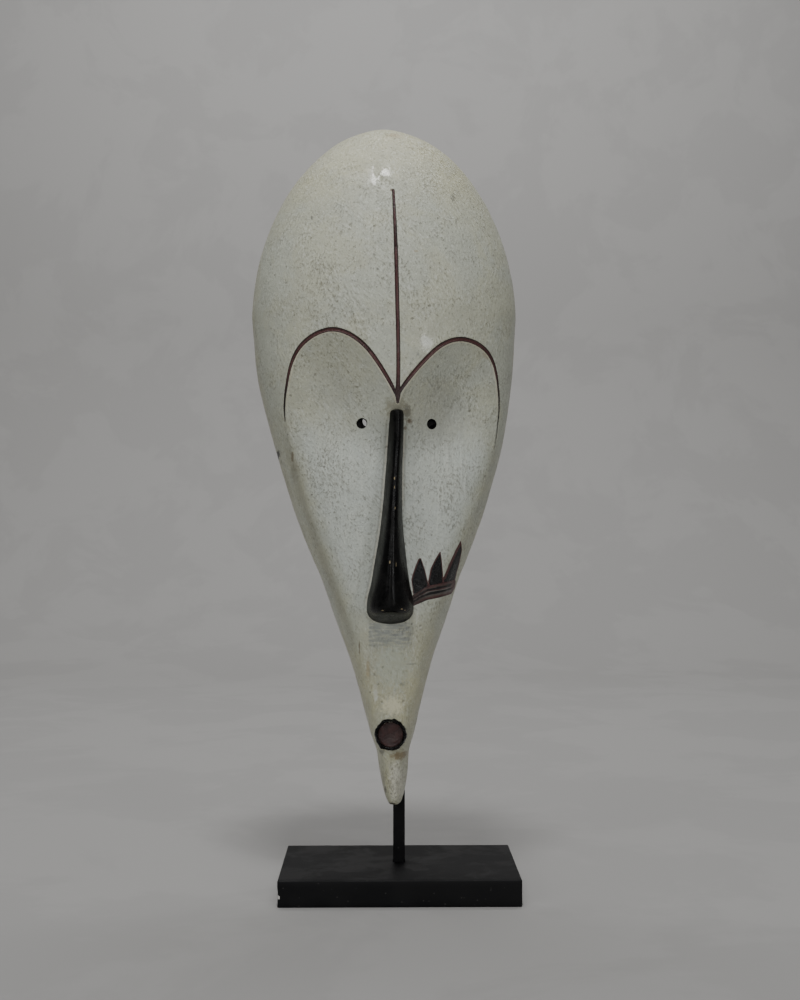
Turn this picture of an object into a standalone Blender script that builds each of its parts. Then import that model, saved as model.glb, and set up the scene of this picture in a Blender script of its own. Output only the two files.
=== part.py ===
"""A fang mask carved from one block of pale wood, on a square steel bar that stands in a board.

Metres, +Z up, the face looks along -Y. The origin is the middle of the board's underside.
The mask's own shape is written in shares of its height, of its half width and of its depth.
"""
import math

import bmesh
import bpy
import numpy as np
from mathutils import Matrix, Vector

# Sizes of the board
BOARD_WIDTH = 0.200
BOARD_DEPTH = 0.120
BOARD_HEIGHT = 0.022
BOARD_EDGE = 0.0010

# Sizes of the bar
BAR_SIDE = 0.010
BAR_EDGE = 0.0006
BAR_SETBACK = 0.004  # the bar's middle lies this far behind the middle of the board
BAR_IN_BOARD = 0.015
BAR_IN_CROWN = 0.017
CLEARANCE = 0.0003  # left between two pieces that touch

# Sizes of the mask
MASK_HEIGHT = 0.5685
MASK_WIDTH = 0.2256
MASK_DEPTH = 0.125  # from the back rim to the forehead
MASK_LIFT = 0.058  # the chin's height above the board
RIM_BEHIND_BAR = 0.016  # from the bar's middle back to the rim
SIDE_WALL = 0.012
FRONT_WALL = 0.014
CROWN_WALL = 0.030
FACE_SINK = 0.017  # how far the heart-shaped face lies under the brow
FACE_EASE = 0.052  # over which width it sinks
EYE_DIAMETER = 0.0084
EYE_STRAIGHT = 0.0066  # each eye hole runs straight for this depth and then leans
MOUTH_DIAMETER = 0.0262
MOUTH_DISH_DIAMETER = 0.0196
MOUTH_RISE = 0.0038
MOUTH_DISH_DEPTH = 0.0055
CHIN_BACK_HEIGHT = 0.100  # the chin lies flat on the bar up to here, measured from its tip
CHIN_BACK_EASE = 0.050  # over this height the cut runs out to the rim
HOLLOW_FOOT = 0.080  # where the hollow ends above the chin

# Mesh steps
RING_STEPS = 32
LEVEL_STEPS = 44
HOLLOW_RING_STEPS = 26
HOLLOW_LEVEL_STEPS = 26
OUTLINE_STEPS = 8

HALF_WIDTH = MASK_WIDTH / 2
MASK_FOOT = BOARD_HEIGHT + MASK_LIFT
WIDEST = 0.716  # share of the height at which the mask is widest
DOME_POWER = 1.87
APEX_DEPTH = 0.36 * MASK_DEPTH
MIDDLE_DEPTH = 0.29 * MASK_DEPTH  # where each level is widest, from the rim
BACK_DEPTH = -0.68 * MASK_DEPTH  # the block reaches back this far before its back is cut off


def curve(*knots):
    """A smooth curve through (place, value) knots that never swings past them."""
    x, y = np.array(knots, float).T
    rise = np.diff(y) / np.diff(x)
    slope = np.zeros(len(x))
    same = rise[:-1] * rise[1:] > 0
    slope[1:-1][same] = 2 * (rise[:-1] * rise[1:])[same] / (rise[:-1] + rise[1:])[same]
    slope[0], slope[-1] = rise[0], rise[-1]

    def value(place):
        place = np.clip(np.asarray(place, float), x[0], x[-1])
        i = np.clip(np.searchsorted(x, place) - 1, 0, len(x) - 2)
        span = x[i + 1] - x[i]
        t = (place - x[i]) / span
        start = (2 * t**3 - 3 * t**2 + 1) * y[i] + (t**3 - 2 * t**2 + t) * span * slope[i]
        end = (3 * t**2 - 2 * t**3) * y[i + 1] + (t**3 - t**2) * span * slope[i + 1]
        return start + end

    return value


# The half width below the widest level, as a share of HALF_WIDTH over the share of the height
low_width = curve((0, 0.055), (0.012, 0.076), (0.025, 0.090), (0.044, 0.104), (0.070, 0.119),
                  (0.100, 0.163), (0.141, 0.214), (0.191, 0.283), (0.225, 0.336), (0.262, 0.406),
                  (0.296, 0.464), (0.327, 0.516), (0.355, 0.575), (0.405, 0.675), (0.448, 0.747),
                  (0.548, 0.889), (0.64, 0.972), (WIDEST, 1.0))
# The depth of the middle line below the widest level, as a share of MASK_DEPTH
low_front = curve((0, 0.50), (0.006, 0.535), (0.020, 0.560), (0.045, 0.578), (0.070, 0.585),
                  (0.080, 0.592), (0.088, 0.615), (0.097, 0.668), (0.105, 0.69), (0.125, 0.706),
                  (0.155, 0.700), (0.19, 0.680), (0.28, 0.75), (0.36, 0.80), (0.47, 0.88),
                  (0.58, 0.955), (0.65, 0.985), (WIDEST, 1.0))
# How square the front of a level is: 2 is an ellipse, more is flatter in front
squareness = curve((0, 2.6), (0.10, 3.2), (0.35, 2.7), (0.60, 2.0), (1, 2.0))
# The carver's hand: how far each level turns, in degrees, and strays, in shares of HALF_WIDTH
turn_degrees = curve((0, -2.5), (0.11, -2.5), (0.30, -0.5), (0.45, 2.5), (0.58, 5.5), (1, 5.5))
stray = curve((0, -0.025), (0.09, -0.041), (0.20, -0.053), (0.40, -0.078), (0.51, -0.092),
              (0.65, -0.126), (0.85, -0.130), (0.95, -0.130), (1, -0.137))

# The heart-shaped face: its outline as (share of HALF_WIDTH, share of MASK_HEIGHT)
HEART_TIP = (0.004, 0.577)
LEFT_LOBE = [(-0.058, 0.607), (-0.190, 0.648), (-0.325, 0.671), (-0.460, 0.678), (-0.595, 0.668),
             (-0.692, 0.646), (-0.753, 0.604), (-0.774, 0.562), (-0.717, 0.500), (-0.561, 0.402),
             (-0.343, 0.284), (-0.166, 0.187), (-0.060, 0.140)]
RIGHT_LOBE = [(0.051, 0.598), (0.200, 0.633), (0.347, 0.659), (0.498, 0.668), (0.654, 0.659),
              (0.746, 0.637), (0.784, 0.595), (0.773, 0.553), (0.718, 0.489), (0.580, 0.409),
              (0.362, 0.294), (0.180, 0.187), (0.060, 0.140)]
HEART_FOOT = (0.0, 0.132)
# How much of FACE_SINK the face has at each level
sink_share = curve((0.13, 0), (0.19, 0.16), (0.28, 0.36), (0.36, 0.48), (0.47, 0.70),
                   (0.553, 1.0), (1, 1.0))

# The nose: half width and ridge depth over the share of the height
NOSE_TOP = 0.5690
NOSE_FOOT = 0.2662
nose_width = curve((0.2662, 0.080), (0.2685, 0.120), (0.274, 0.150), (0.281, 0.166),
                   (0.288, 0.170), (0.300, 0.166), (0.325, 0.139), (0.373, 0.102),
                   (0.420, 0.075), (0.468, 0.063), (0.515, 0.0565), (0.548, 0.054),
                   (0.5630, 0.0525), (0.5672, 0.047), (0.5690, 0.032))
nose_ridge = curve((0.2662, 0.715), (0.272, 0.79), (0.279, 0.885), (0.2845, 0.965),
                   (0.2885, 0.995), (0.294, 1.008), (0.33, 1.0), (0.42, 0.975), (0.52, 0.952),
                   (0.555, 0.957), (0.5660, 0.960), (0.5690, 0.938))
NOSE_STEPS = 22
NOSE_RING_STEPS = 18
NOSE_BED = 0.10  # how deep the nose's back lies in the face, as a share of MASK_DEPTH

# Eyes: share of HALF_WIDTH, share of MASK_HEIGHT, degrees sideways and degrees up that the
# back part of each hole leans as it comes forward
EYES = {"left": (-0.241, 0.5512, -27, -11), "right": (0.263, 0.5512, -17, 28)}
MOUTH_LEVEL = 0.1085
MOUTH_SIDE = 0.003  # share of HALF_WIDTH


def dome(share, top=1.0):
    """1 at the widest level, falling to 0 at the top of the dome."""
    rise = np.clip((share - WIDEST) / (top - WIDEST), 0, 1)
    return (1 - rise**DOME_POWER) ** (1 / DOME_POWER)


def block(share, side=0.0, front=0.0, crown=0.0):
    """Half width, front, middle and back depth of a level, less the given walls."""
    top = 1 - crown / MASK_HEIGHT
    round_off = dome(share, top)
    above = share > WIDEST
    width = np.where(above, (HALF_WIDTH - side) * round_off, HALF_WIDTH * low_width(share) - side)
    crest = MASK_DEPTH - front
    ahead = np.where(above, APEX_DEPTH + (crest - APEX_DEPTH) * round_off,
                     MASK_DEPTH * low_front(share) - front)
    rise = np.clip((share - WIDEST) / (top - WIDEST), 0, 1)
    middle = MIDDLE_DEPTH + (APEX_DEPTH - MIDDLE_DEPTH) * rise
    middle = np.minimum(middle, 0.6 * ahead)
    behind = APEX_DEPTH - (APEX_DEPTH - BACK_DEPTH) * round_off
    return np.maximum(width, 0), ahead, middle, behind


def to_world(x, depth, share):
    """World places of points of the mask, given across, forward from the rim and up."""
    turn = np.radians(turn_degrees(share))
    reach = depth - RIM_BEHIND_BAR
    return np.stack([x * np.cos(turn) + reach * np.sin(turn) + stray(share) * HALF_WIDTH,
                     BAR_SETBACK - reach * np.cos(turn) + x * np.sin(turn),
                     MASK_FOOT + share * MASK_HEIGHT + 0 * x], axis=-1)


def through(points, steps):
    """A smooth line through the points, ends included, with the given steps between two."""
    p = np.array(points, float)
    p = np.vstack([2 * p[0] - p[1], p, 2 * p[-1] - p[-2]])
    t = np.arange(steps)[:, None] / steps
    spans = []
    for a, b, c, d in zip(p, p[1:], p[2:], p[3:]):
        spans.append(b + 0.5 * t * (c - a + t * (2 * a - 5 * b + 4 * c - d
                                                 + t * (3 * (b - c) + d - a))))
    return np.vstack(spans + [p[-2:-1]])


def heart_outline():
    """The closed outline of the face, in metres across and up."""
    left = through([HEART_TIP] + LEFT_LOBE + [HEART_FOOT], OUTLINE_STEPS)
    right = through([HEART_TIP] + RIGHT_LOBE + [HEART_FOOT], OUTLINE_STEPS)
    return np.vstack([left, right[-2:0:-1]]) * (HALF_WIDTH, MASK_HEIGHT)


HEART = heart_outline()


def inside_heart(x, share):
    """Distance to the face's outline, positive inside the face."""
    p = np.stack([x, share * MASK_HEIGHT], axis=-1)[:, None, :]
    a = HEART
    b = np.roll(a, -1, axis=0)
    run = b - a
    t = np.clip(((p - a) * run).sum(-1) / (run * run).sum(-1), 0, 1)
    gap = np.linalg.norm(p - a - t[..., None] * run, axis=-1).min(axis=1)
    crosses = (a[:, 1] > p[..., 1]) != (b[:, 1] > p[..., 1])
    with np.errstate(divide="ignore", invalid="ignore"):
        at = a[:, 0] + (p[..., 1] - a[:, 1]) / run[:, 1] * run[:, 0]
    odd = (crosses & (p[..., 0] < at)).sum(axis=1) % 2 == 1
    return np.where(odd, gap, -gap)


def sink(x, share):
    """How far the face lies behind the uncut block."""
    ease = np.clip(inside_heart(x, share) / FACE_EASE, 0, 1)
    return FACE_SINK * sink_share(share) * (1 - (1 - ease) ** 2)


def ring_angle(u):
    """Angle round a level; the steps are closer in front."""
    return 2 * math.pi * u - 0.6 * np.sin(2 * math.pi * u)


def level_share(v, foot=0.0, top=1.0):
    """Share of the height for v from 0 to 1; the steps close up towards the top."""
    bend = 0.616
    rise = np.clip((v - bend) / (1 - bend), 0, 1) * math.pi / 2
    low = foot + (WIDEST - foot) * np.clip(v / bend, 0, 1)
    return np.where(v < bend, low, WIDEST + (top - WIDEST) * np.sin(rise) ** (2 / DOME_POWER))


def block_flat(u, v):
    """Across, share of the height and whether it is in front, for a point of the flat grid."""
    share = level_share(v)
    width = block(share)[0]
    angle = ring_angle(u)
    return width * np.sin(angle), share, np.cos(angle) > 0


def block_place(u, v):
    """World place of a point of the flat grid on the outside of the mask."""
    share = level_share(v)
    width, ahead, middle, behind = block(share)
    angle = ring_angle(u)
    across = np.sin(angle)
    swell = np.sqrt(np.clip(1 - np.abs(across) ** squareness(share), 0, 1))
    front = middle + (ahead - middle) * swell - sink(width * across, share)
    back = middle + (middle - behind) * np.cos(angle)
    return to_world(width * across, np.where(np.cos(angle) > 0, front, back), share)


def hollow_place(u, v):
    """World place of a point of the flat grid on the hollow."""
    foot = HOLLOW_FOOT / MASK_HEIGHT
    share = level_share(v, foot, 1 - CROWN_WALL / MASK_HEIGHT)
    width, ahead, middle, behind = block(share, SIDE_WALL, FRONT_WALL, CROWN_WALL)
    angle = ring_angle(u)
    rise = np.clip((share * MASK_HEIGHT - HOLLOW_FOOT) / (2 * SIDE_WALL + BAR_SIDE), 0, 1)
    opening = np.sqrt(1 - (1 - rise) ** 2)
    width = width * opening
    ahead = middle + (ahead - middle) * opening
    across = np.sin(angle)
    swell = np.sqrt(np.clip(1 - np.abs(across) ** squareness(share), 0, 1))
    front = middle + (ahead - middle) * swell - sink(width * across, share) * swell
    back = middle + (middle - behind) * np.cos(angle)
    return to_world(width * across, np.where(np.cos(angle) > 0, front, back), share)


def material(name, colour, roughness, metallic=0.0):
    made = bpy.data.materials.new(name)
    made.use_nodes = True
    shader = made.node_tree.nodes["Principled BSDF"]
    shader.inputs["Base Color"].default_value = (*colour, 1)
    shader.inputs["Roughness"].default_value = roughness
    shader.inputs["Metallic"].default_value = metallic
    return made


def add_object(name, bm, finish=None):
    """A named object from a bmesh; without a finish it is a cutter."""
    bmesh.ops.recalc_face_normals(bm, faces=bm.faces[:])
    if bm.calc_volume(signed=True) < 0:
        bmesh.ops.reverse_faces(bm, faces=bm.faces[:])
    mesh = bpy.data.meshes.new(name)
    bm.to_mesh(mesh)
    bm.free()
    mesh.shade_smooth()
    mesh.set_sharp_from_angle(angle=math.radians(35))
    made = bpy.data.objects.new(name, mesh)
    bpy.context.scene.collection.objects.link(made)
    if finish is None:
        made.hide_render = True
        made.display_type = "WIRE"
    else:
        mesh.materials.append(finish)
    return made


def combine(target, other, operation):
    step = target.modifiers.new(other.name, "BOOLEAN")
    step.operation = operation
    step.object = other


def flat_grid(columns, rows):
    """A grid over u from -0.5 to 0.5 and v from 0 to 1."""
    bm = bmesh.new()
    bmesh.ops.create_grid(bm, x_segments=columns, y_segments=rows, size=0.5)
    bmesh.ops.translate(bm, verts=bm.verts[:], vec=(0, 0.5, 0))
    return bm


def flat_places(verts):
    co = np.array([v.co[:2] for v in verts])
    return co[:, 0], co[:, 1]


def outline_gap(verts):
    """Signed distance to the face's outline; far outside for what is not in front."""
    x, share, in_front = block_flat(*flat_places(verts))
    return np.where(in_front, inside_heart(x, share), -1.0)


def refine(bm, reach, lowest):
    """Halve the cells in front that lie within reach of the outline, above a share."""
    bm.verts.index_update()
    gap = np.abs(outline_gap(bm.verts))
    share = level_share(flat_places(bm.verts)[1])
    near = [e for e in bm.edges
            if min(gap[v.index] for v in e.verts) < reach
            and min(share[v.index] for v in e.verts) > lowest]
    bmesh.ops.subdivide_edges(bm, edges=near, cuts=1, use_grid_fill=True)


def crossing(gap_a, gap_b):
    return gap_a / (gap_a - gap_b)


def draw_outline(bm):
    """Lay the grid's own edges along the face's outline, so that the crease is sharp."""
    bm.verts.index_update()
    gap = outline_gap(bm.verts)
    slide = {}
    for edge in bm.edges:
        a, b = edge.verts
        if gap[a.index] * gap[b.index] >= 0:
            continue
        t = crossing(gap[a.index], gap[b.index])
        for vert, other, share in ((a, b, t), (b, a, 1 - t)):
            if share < 0.25 and share < slide.get(vert, (1, None))[0]:
                slide[vert] = (share, other.co.copy())
    targets = {vert: vert.co.lerp(to, share) for vert, (share, to) in slide.items()}
    for vert, place in targets.items():
        vert.co = place
    drawn = set(targets)
    for edge in list(bm.edges):
        a, b = edge.verts
        if a in drawn or b in drawn or gap[a.index] * gap[b.index] >= 0:
            continue
        t = crossing(gap[a.index], gap[b.index])
        new = bmesh.utils.edge_split(edge, a, t)[1]
        drawn.add(new)
    bmesh.ops.connect_verts(bm, verts=list(drawn))


def wrap(bm, place):
    """Bend the flat grid round into its closed form and close its foot."""
    verts = bm.verts[:]
    for vert, co in zip(verts, place(*flat_places(verts))):
        vert.co = co
    bmesh.ops.remove_doubles(bm, verts=bm.verts[:], dist=1e-5)
    bmesh.ops.holes_fill(bm, edges=[e for e in bm.edges if e.is_boundary], sides=0)


def mask_block():
    bm = flat_grid(RING_STEPS, LEVEL_STEPS)
    refine(bm, reach=0.009, lowest=0.16)
    refine(bm, reach=0.0035, lowest=0.46)
    draw_outline(bm)
    wrap(bm, block_place)
    return bm


def hollow():
    bm = flat_grid(HOLLOW_RING_STEPS, HOLLOW_LEVEL_STEPS)
    wrap(bm, hollow_place)
    return bm


def nose():
    """A long tapered body, half round in front, bedded in the face."""
    bm = bmesh.new()
    bmesh.ops.create_grid(bm, x_segments=NOSE_RING_STEPS, y_segments=NOSE_STEPS, size=0.5)
    verts = bm.verts[:]
    u, v = flat_places(verts)
    closer_at_ends = 0.5 - 0.5 * np.cos(math.pi * (v + 0.5))
    share = NOSE_FOOT + (NOSE_TOP - NOSE_FOOT) * closer_at_ends
    angle = 2 * math.pi * u
    width = HALF_WIDTH * nose_width(share)
    ridge = MASK_DEPTH * nose_ridge(share)
    zero = np.zeros_like(share)
    face = block(share)[1] - sink(zero, share)
    bed = np.minimum(face, ridge) - NOSE_BED * MASK_DEPTH * np.clip(width / 0.008, 0.25, 1)
    middle = bed + 0.2 * (ridge - bed)
    depth = np.where(np.cos(angle) > 0, middle + (ridge - middle) * np.cos(angle),
                     middle + (middle - bed) * np.cos(angle))
    for vert, co in zip(verts, to_world(width * np.sin(angle), depth, share)):
        vert.co = co
    bmesh.ops.remove_doubles(bm, verts=bm.verts[:], dist=1e-6)
    bmesh.ops.holes_fill(bm, edges=[e for e in bm.edges if e.is_boundary], sides=0)
    return bm


def forward_cylinder(radius, low, high, depth, x, share, sides, lean=(0.0, 0.0), round_edge=0.0):
    """A cylinder through a place at this depth from the rim, leaning off by (side, up).

    It points straight forward unless it leans, and reaches from low to high over the place.
    """
    bm = bmesh.new()
    bmesh.ops.create_cone(bm, cap_ends=True, segments=sides, radius1=radius, radius2=radius,
                          depth=high - low)
    if round_edge:
        rim = [e for e in bm.edges if all(v.co.z > 0 for v in e.verts)]
        bmesh.ops.bevel(bm, geom=rim, offset=round_edge, segments=2, affect="EDGES",
                        profile=0.5, material=-1)
    bmesh.ops.translate(bm, vec=(0, 0, (low + high) / 2), verts=bm.verts[:])
    place = Vector(to_world(np.array(x), np.array(depth), np.array(share)))
    heading = Matrix.Rotation(math.radians(float(turn_degrees(share)) + lean[0]), 4, "Z")
    forward = Matrix.Rotation(math.pi / 2 - math.radians(lean[1]), 4, "X")
    bm.transform(Matrix.Translation(place) @ heading @ forward)
    return bm


def box(width, depth, height, centre):
    bm = bmesh.new()
    bmesh.ops.create_cube(bm, size=1)
    bmesh.ops.scale(bm, vec=(width, depth, height), verts=bm.verts[:])
    bmesh.ops.translate(bm, vec=centre, verts=bm.verts[:])
    return bm


def face_depth(x, share):
    """Depth of the finished face from the rim."""
    width, ahead, middle, _ = block(np.array([share]))
    swell = np.sqrt(1 - (abs(x) / width) ** squareness(share))
    return (middle + (ahead - middle) * swell - sink(np.array([x]), np.array([share]))).item()


def back_cut():
    """Everything behind the rim, behind the chin's flat back and behind the slope between."""
    rim = BAR_SETBACK + RIM_BEHIND_BAR
    chin = BAR_SETBACK - BAR_SIDE / 2 - CLEARANCE
    far = rim + 2 * MASK_DEPTH
    under = MASK_FOOT - MASK_LIFT / 2
    over = MASK_FOOT + MASK_HEIGHT + MASK_LIFT
    bend = MASK_FOOT + CHIN_BACK_HEIGHT
    profile = [(chin, under), (chin, bend), (rim, bend + CHIN_BACK_EASE), (rim, over),
               (far, over), (far, under)]
    bm = bmesh.new()
    face = bm.faces.new([bm.verts.new((-MASK_WIDTH, y, z)) for y, z in profile])
    side = bmesh.ops.extrude_face_region(bm, geom=[face])["geom"]
    moved = [g for g in side if isinstance(g, bmesh.types.BMVert)]
    bmesh.ops.translate(bm, verts=moved, vec=(2 * MASK_WIDTH, 0, 0))
    return bm


def bar_top():
    """Height of the bar's upper end, BAR_IN_CROWN above the roof of the hollow."""
    fall = (APEX_DEPTH - RIM_BEHIND_BAR) / (APEX_DEPTH - BACK_DEPTH)
    rise = (1 - fall**DOME_POWER) ** (1 / DOME_POWER)
    roof = WIDEST * MASK_HEIGHT + rise * ((1 - WIDEST) * MASK_HEIGHT - CROWN_WALL)
    return MASK_FOOT + roof + BAR_IN_CROWN


def bar_way(low, high):
    """The square hole that the bar needs between two heights."""
    side = BAR_SIDE + 2 * CLEARANCE
    return box(side, side, high - low, (0, BAR_SETBACK, (low + high) / 2))


for leftover in list(bpy.data.objects):
    bpy.data.objects.remove(leftover, do_unlink=True)

wood = material("painted_wood", (0.55, 0.54, 0.46), 0.55)
steel = material("black_steel", (0.012, 0.012, 0.013), 0.4, 0.3)
paint = material("black_board", (0.012, 0.012, 0.014), 0.5)

# Board
board = add_object("base", box(BOARD_WIDTH, BOARD_DEPTH, BOARD_HEIGHT, (0, 0, BOARD_HEIGHT / 2)),
                   paint)
eased = board.modifiers.new("eased_edges", "BEVEL")
eased.width = BOARD_EDGE
eased.segments = 2
floor_of_hole = BOARD_HEIGHT - BAR_IN_BOARD
combine(board, add_object("hole_in_base", bar_way(floor_of_hole - CLEARANCE, 2 * BOARD_HEIGHT)),
        "DIFFERENCE")

# Bar
bar_height = bar_top() - floor_of_hole
bar = add_object("rod", box(BAR_SIDE, BAR_SIDE, bar_height,
                            (0, BAR_SETBACK, floor_of_hole + bar_height / 2)), steel)
softened = bar.modifiers.new("softened_edges", "BEVEL")
softened.width = BAR_EDGE
softened.segments = 1

# Mask
mask = add_object("mask", mask_block(), wood)
combine(mask, add_object("nose", nose()), "UNION")
mouth_depth = face_depth(0.0, MOUTH_LEVEL)
mouth_x = MOUTH_SIDE * HALF_WIDTH
combine(mask, add_object("lip", forward_cylinder(
    MOUTH_DIAMETER / 2, -0.016, MOUTH_RISE, mouth_depth, mouth_x, MOUTH_LEVEL, 28,
    round_edge=0.0012)), "UNION")
combine(mask, add_object("mouth", forward_cylinder(
    MOUTH_DISH_DIAMETER / 2, MOUTH_RISE - MOUTH_DISH_DEPTH, MOUTH_RISE + 0.004, mouth_depth,
    mouth_x, MOUTH_LEVEL, 28)), "DIFFERENCE")
combine(mask, add_object("hollow", hollow()), "DIFFERENCE")
for side, (across, level, *lean) in EYES.items():
    x = across * HALF_WIDTH
    depth = face_depth(x, level)
    combine(mask, add_object("eye_" + side, forward_cylinder(
        EYE_DIAMETER / 2, -EYE_STRAIGHT, FRONT_WALL, depth, x, level, 16)), "DIFFERENCE")
    combine(mask, add_object("eye_back_" + side, forward_cylinder(
        EYE_DIAMETER / 2, -2 * FRONT_WALL, -0.9 * EYE_STRAIGHT, depth, x, level, 16, lean)),
        "DIFFERENCE")
combine(mask, add_object("back", back_cut()), "DIFFERENCE")
bar_hole_low = MASK_FOOT + CHIN_BACK_HEIGHT + 2 * CLEARANCE
combine(mask, add_object("hole_in_crown", bar_way(bar_hole_low, bar_top() + CLEARANCE)),
        "DIFFERENCE")
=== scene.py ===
import math

import bmesh
import bpy
import numpy as np
from mathutils import Matrix, Vector, noise


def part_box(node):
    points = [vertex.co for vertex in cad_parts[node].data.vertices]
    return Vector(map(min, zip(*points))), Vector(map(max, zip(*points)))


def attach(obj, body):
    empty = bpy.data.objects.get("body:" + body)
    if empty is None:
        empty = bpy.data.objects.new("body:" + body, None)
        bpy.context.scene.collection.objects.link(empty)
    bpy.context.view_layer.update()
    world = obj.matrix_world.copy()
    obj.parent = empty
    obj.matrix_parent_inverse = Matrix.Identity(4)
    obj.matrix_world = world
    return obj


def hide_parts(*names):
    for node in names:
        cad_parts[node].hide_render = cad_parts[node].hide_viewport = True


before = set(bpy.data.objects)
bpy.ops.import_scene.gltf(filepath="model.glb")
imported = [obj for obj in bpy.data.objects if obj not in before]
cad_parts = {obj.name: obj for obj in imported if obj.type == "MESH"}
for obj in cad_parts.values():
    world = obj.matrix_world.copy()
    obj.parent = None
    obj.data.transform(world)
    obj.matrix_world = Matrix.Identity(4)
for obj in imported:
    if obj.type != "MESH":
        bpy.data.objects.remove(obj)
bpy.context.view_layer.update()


# The board
# A flat piece of wood under black paint, its edges eased with sandpaper before it was painted.
# One front corner is chipped down to the white primer, and a square hole takes the bar.

BOARD_EDGE = 0.0012
BOARD_CELL = 0.006
CHIP_HEIGHT = 0.0085
CHIP_SIZE = 0.0030
CHIP_DEPTH = 0.0016
BOARD_WAVE = 0.00012
HOLE_GAP = 0.0003


def add(tree, kind, inputs=None, **settings):
    """A shader node with its settings and inputs; an input is a value or another node's output."""
    made = tree.nodes.new("ShaderNode" + kind)
    for name, value in settings.items():
        setattr(made, name, value)
    for name, value in (inputs or {}).items():
        if isinstance(value, bpy.types.NodeSocket):
            tree.links.new(value, made.inputs[name])
        else:
            made.inputs[name].default_value = value
    return made


def blend_colour(tree, amount, under, over):
    """The colour over laid on the colour under by an amount from 0 to 1."""
    made = add(tree, "Mix", data_type="RGBA")
    for socket, value in ((made.inputs[0], amount), (made.inputs[6], under), (made.inputs[7], over)):
        if isinstance(value, bpy.types.NodeSocket):
            tree.links.new(value, socket)
        else:
            socket.default_value = value
    return made.outputs[2]


def spread(tree, value, low, high, to_low=0.0, to_high=1.0):
    """The value carried from one range to another, smoothly, and held at its ends."""
    made = add(tree, "MapRange", {"Value": value, "From Min": low, "From Max": high,
                                  "To Min": to_low, "To Max": to_high},
               interpolation_type="SMOOTHSTEP")
    return made.outputs["Result"]


def calc(tree, operation, a, b):
    return add(tree, "Math", {0: a, 1: b}, operation=operation).outputs[0]


def new_finish(name):
    """A material with its tree, its shader and the object's own coordinates."""
    made = bpy.data.materials.new(name)
    made.use_nodes = True
    tree = made.node_tree
    place = add(tree, "TexCoord").outputs["Object"]
    return made, tree, tree.nodes["Principled BSDF"], place


def new_effect(name, inputs, outputs):
    """A node group with float or vector inputs and their defaults, and float outputs."""
    group = bpy.data.node_groups.new(name, "ShaderNodeTree")
    for label, default in inputs.items():
        kind = "NodeSocketVector" if default is None else "NodeSocketFloat"
        socket = group.interface.new_socket(label, in_out="INPUT", socket_type=kind)
        if default is not None:
            socket.default_value = default
    for label in outputs:
        group.interface.new_socket(label, in_out="OUTPUT", socket_type="NodeSocketFloat")
    return group, group.nodes.new("NodeGroupInput").outputs, group.nodes.new("NodeGroupOutput").inputs


def use_effect(tree, group, inputs):
    made = add(tree, "Group", node_tree=group)
    for name, value in inputs.items():
        if isinstance(value, bpy.types.NodeSocket):
            tree.links.new(value, made.inputs[name])
        else:
            made.inputs[name].default_value = value
    return made.outputs


# Brush marks: a noise drawn out along Z, with a finer one across it
brush_marks, given, result = new_effect("Brush marks", {"Place": None, "Width": 0.0012, "Length": 6.0},
                                        ["Marks"])
fineness = calc(brush_marks, "DIVIDE", 1.0, given["Width"])
drawn = calc(brush_marks, "DIVIDE", fineness, given["Length"])
stretch = add(brush_marks, "CombineXYZ", {0: fineness, 1: fineness, 2: drawn}).outputs[0]
scaled = add(brush_marks, "VectorMath", {0: given["Place"], 1: stretch},
             operation="MULTIPLY").outputs[0]
strokes = add(brush_marks, "TexNoise", {"Vector": scaled, "Scale": 1.0, "Detail": 4.0,
                                        "Roughness": 0.6}).outputs["Fac"]
brush_marks.links.new(strokes, result["Marks"])

# Specks: separate small spots, of which only some cells have one
specks, given, result = new_effect("Specks", {"Place": None, "Size": 0.0015, "Share": 0.2}, ["Spots"])
fineness = calc(specks, "DIVIDE", 1.0, given["Size"])
waver = add(specks, "TexNoise", {"Vector": given["Place"], "Scale": 900.0, "Detail": 2.0})
bent = add(specks, "VectorMath", {0: waver.outputs["Color"], 1: (0.0012, 0.0012, 0.0012)},
           operation="MULTIPLY").outputs[0]
bent = add(specks, "VectorMath", {0: bent, 1: given["Place"]}, operation="ADD").outputs[0]
cells = add(specks, "TexVoronoi", {"Vector": bent, "Scale": fineness})
chosen = add(specks, "SeparateColor", {"Color": cells.outputs["Color"]}).outputs[0]
chosen = add(specks, "Math", {0: chosen, 1: given["Share"]}, operation="LESS_THAN").outputs[0]
spot = spread(specks, cells.outputs["Distance"], 0.38, 0.18)
specks.links.new(calc(specks, "MULTIPLY", spot, chosen), result["Spots"])

# Worn paint: broad patches where the gloss and the shade of a paint change
wear, given, result = new_effect("Worn paint", {"Place": None, "Patch": 0.02, "Hardness": 0.5},
                                 ["Wear", "Fine"])
fineness = calc(wear, "DIVIDE", 1.0, given["Patch"])
broad = add(wear, "TexNoise", {"Vector": given["Place"], "Scale": fineness, "Detail": 5.0,
                               "Roughness": 0.62, "Distortion": 0.4}).outputs["Fac"]
half_soft = calc(wear, "SUBTRACT", 0.5, calc(wear, "MULTIPLY", given["Hardness"], 0.45))
other_side = calc(wear, "SUBTRACT", 1.0, half_soft)
wear.links.new(spread(wear, broad, half_soft, other_side), result["Wear"])
fine = add(wear, "TexNoise", {"Vector": given["Place"], "Scale": 1400.0, "Detail": 3.0}).outputs["Fac"]
wear.links.new(fine, result["Fine"])


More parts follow.
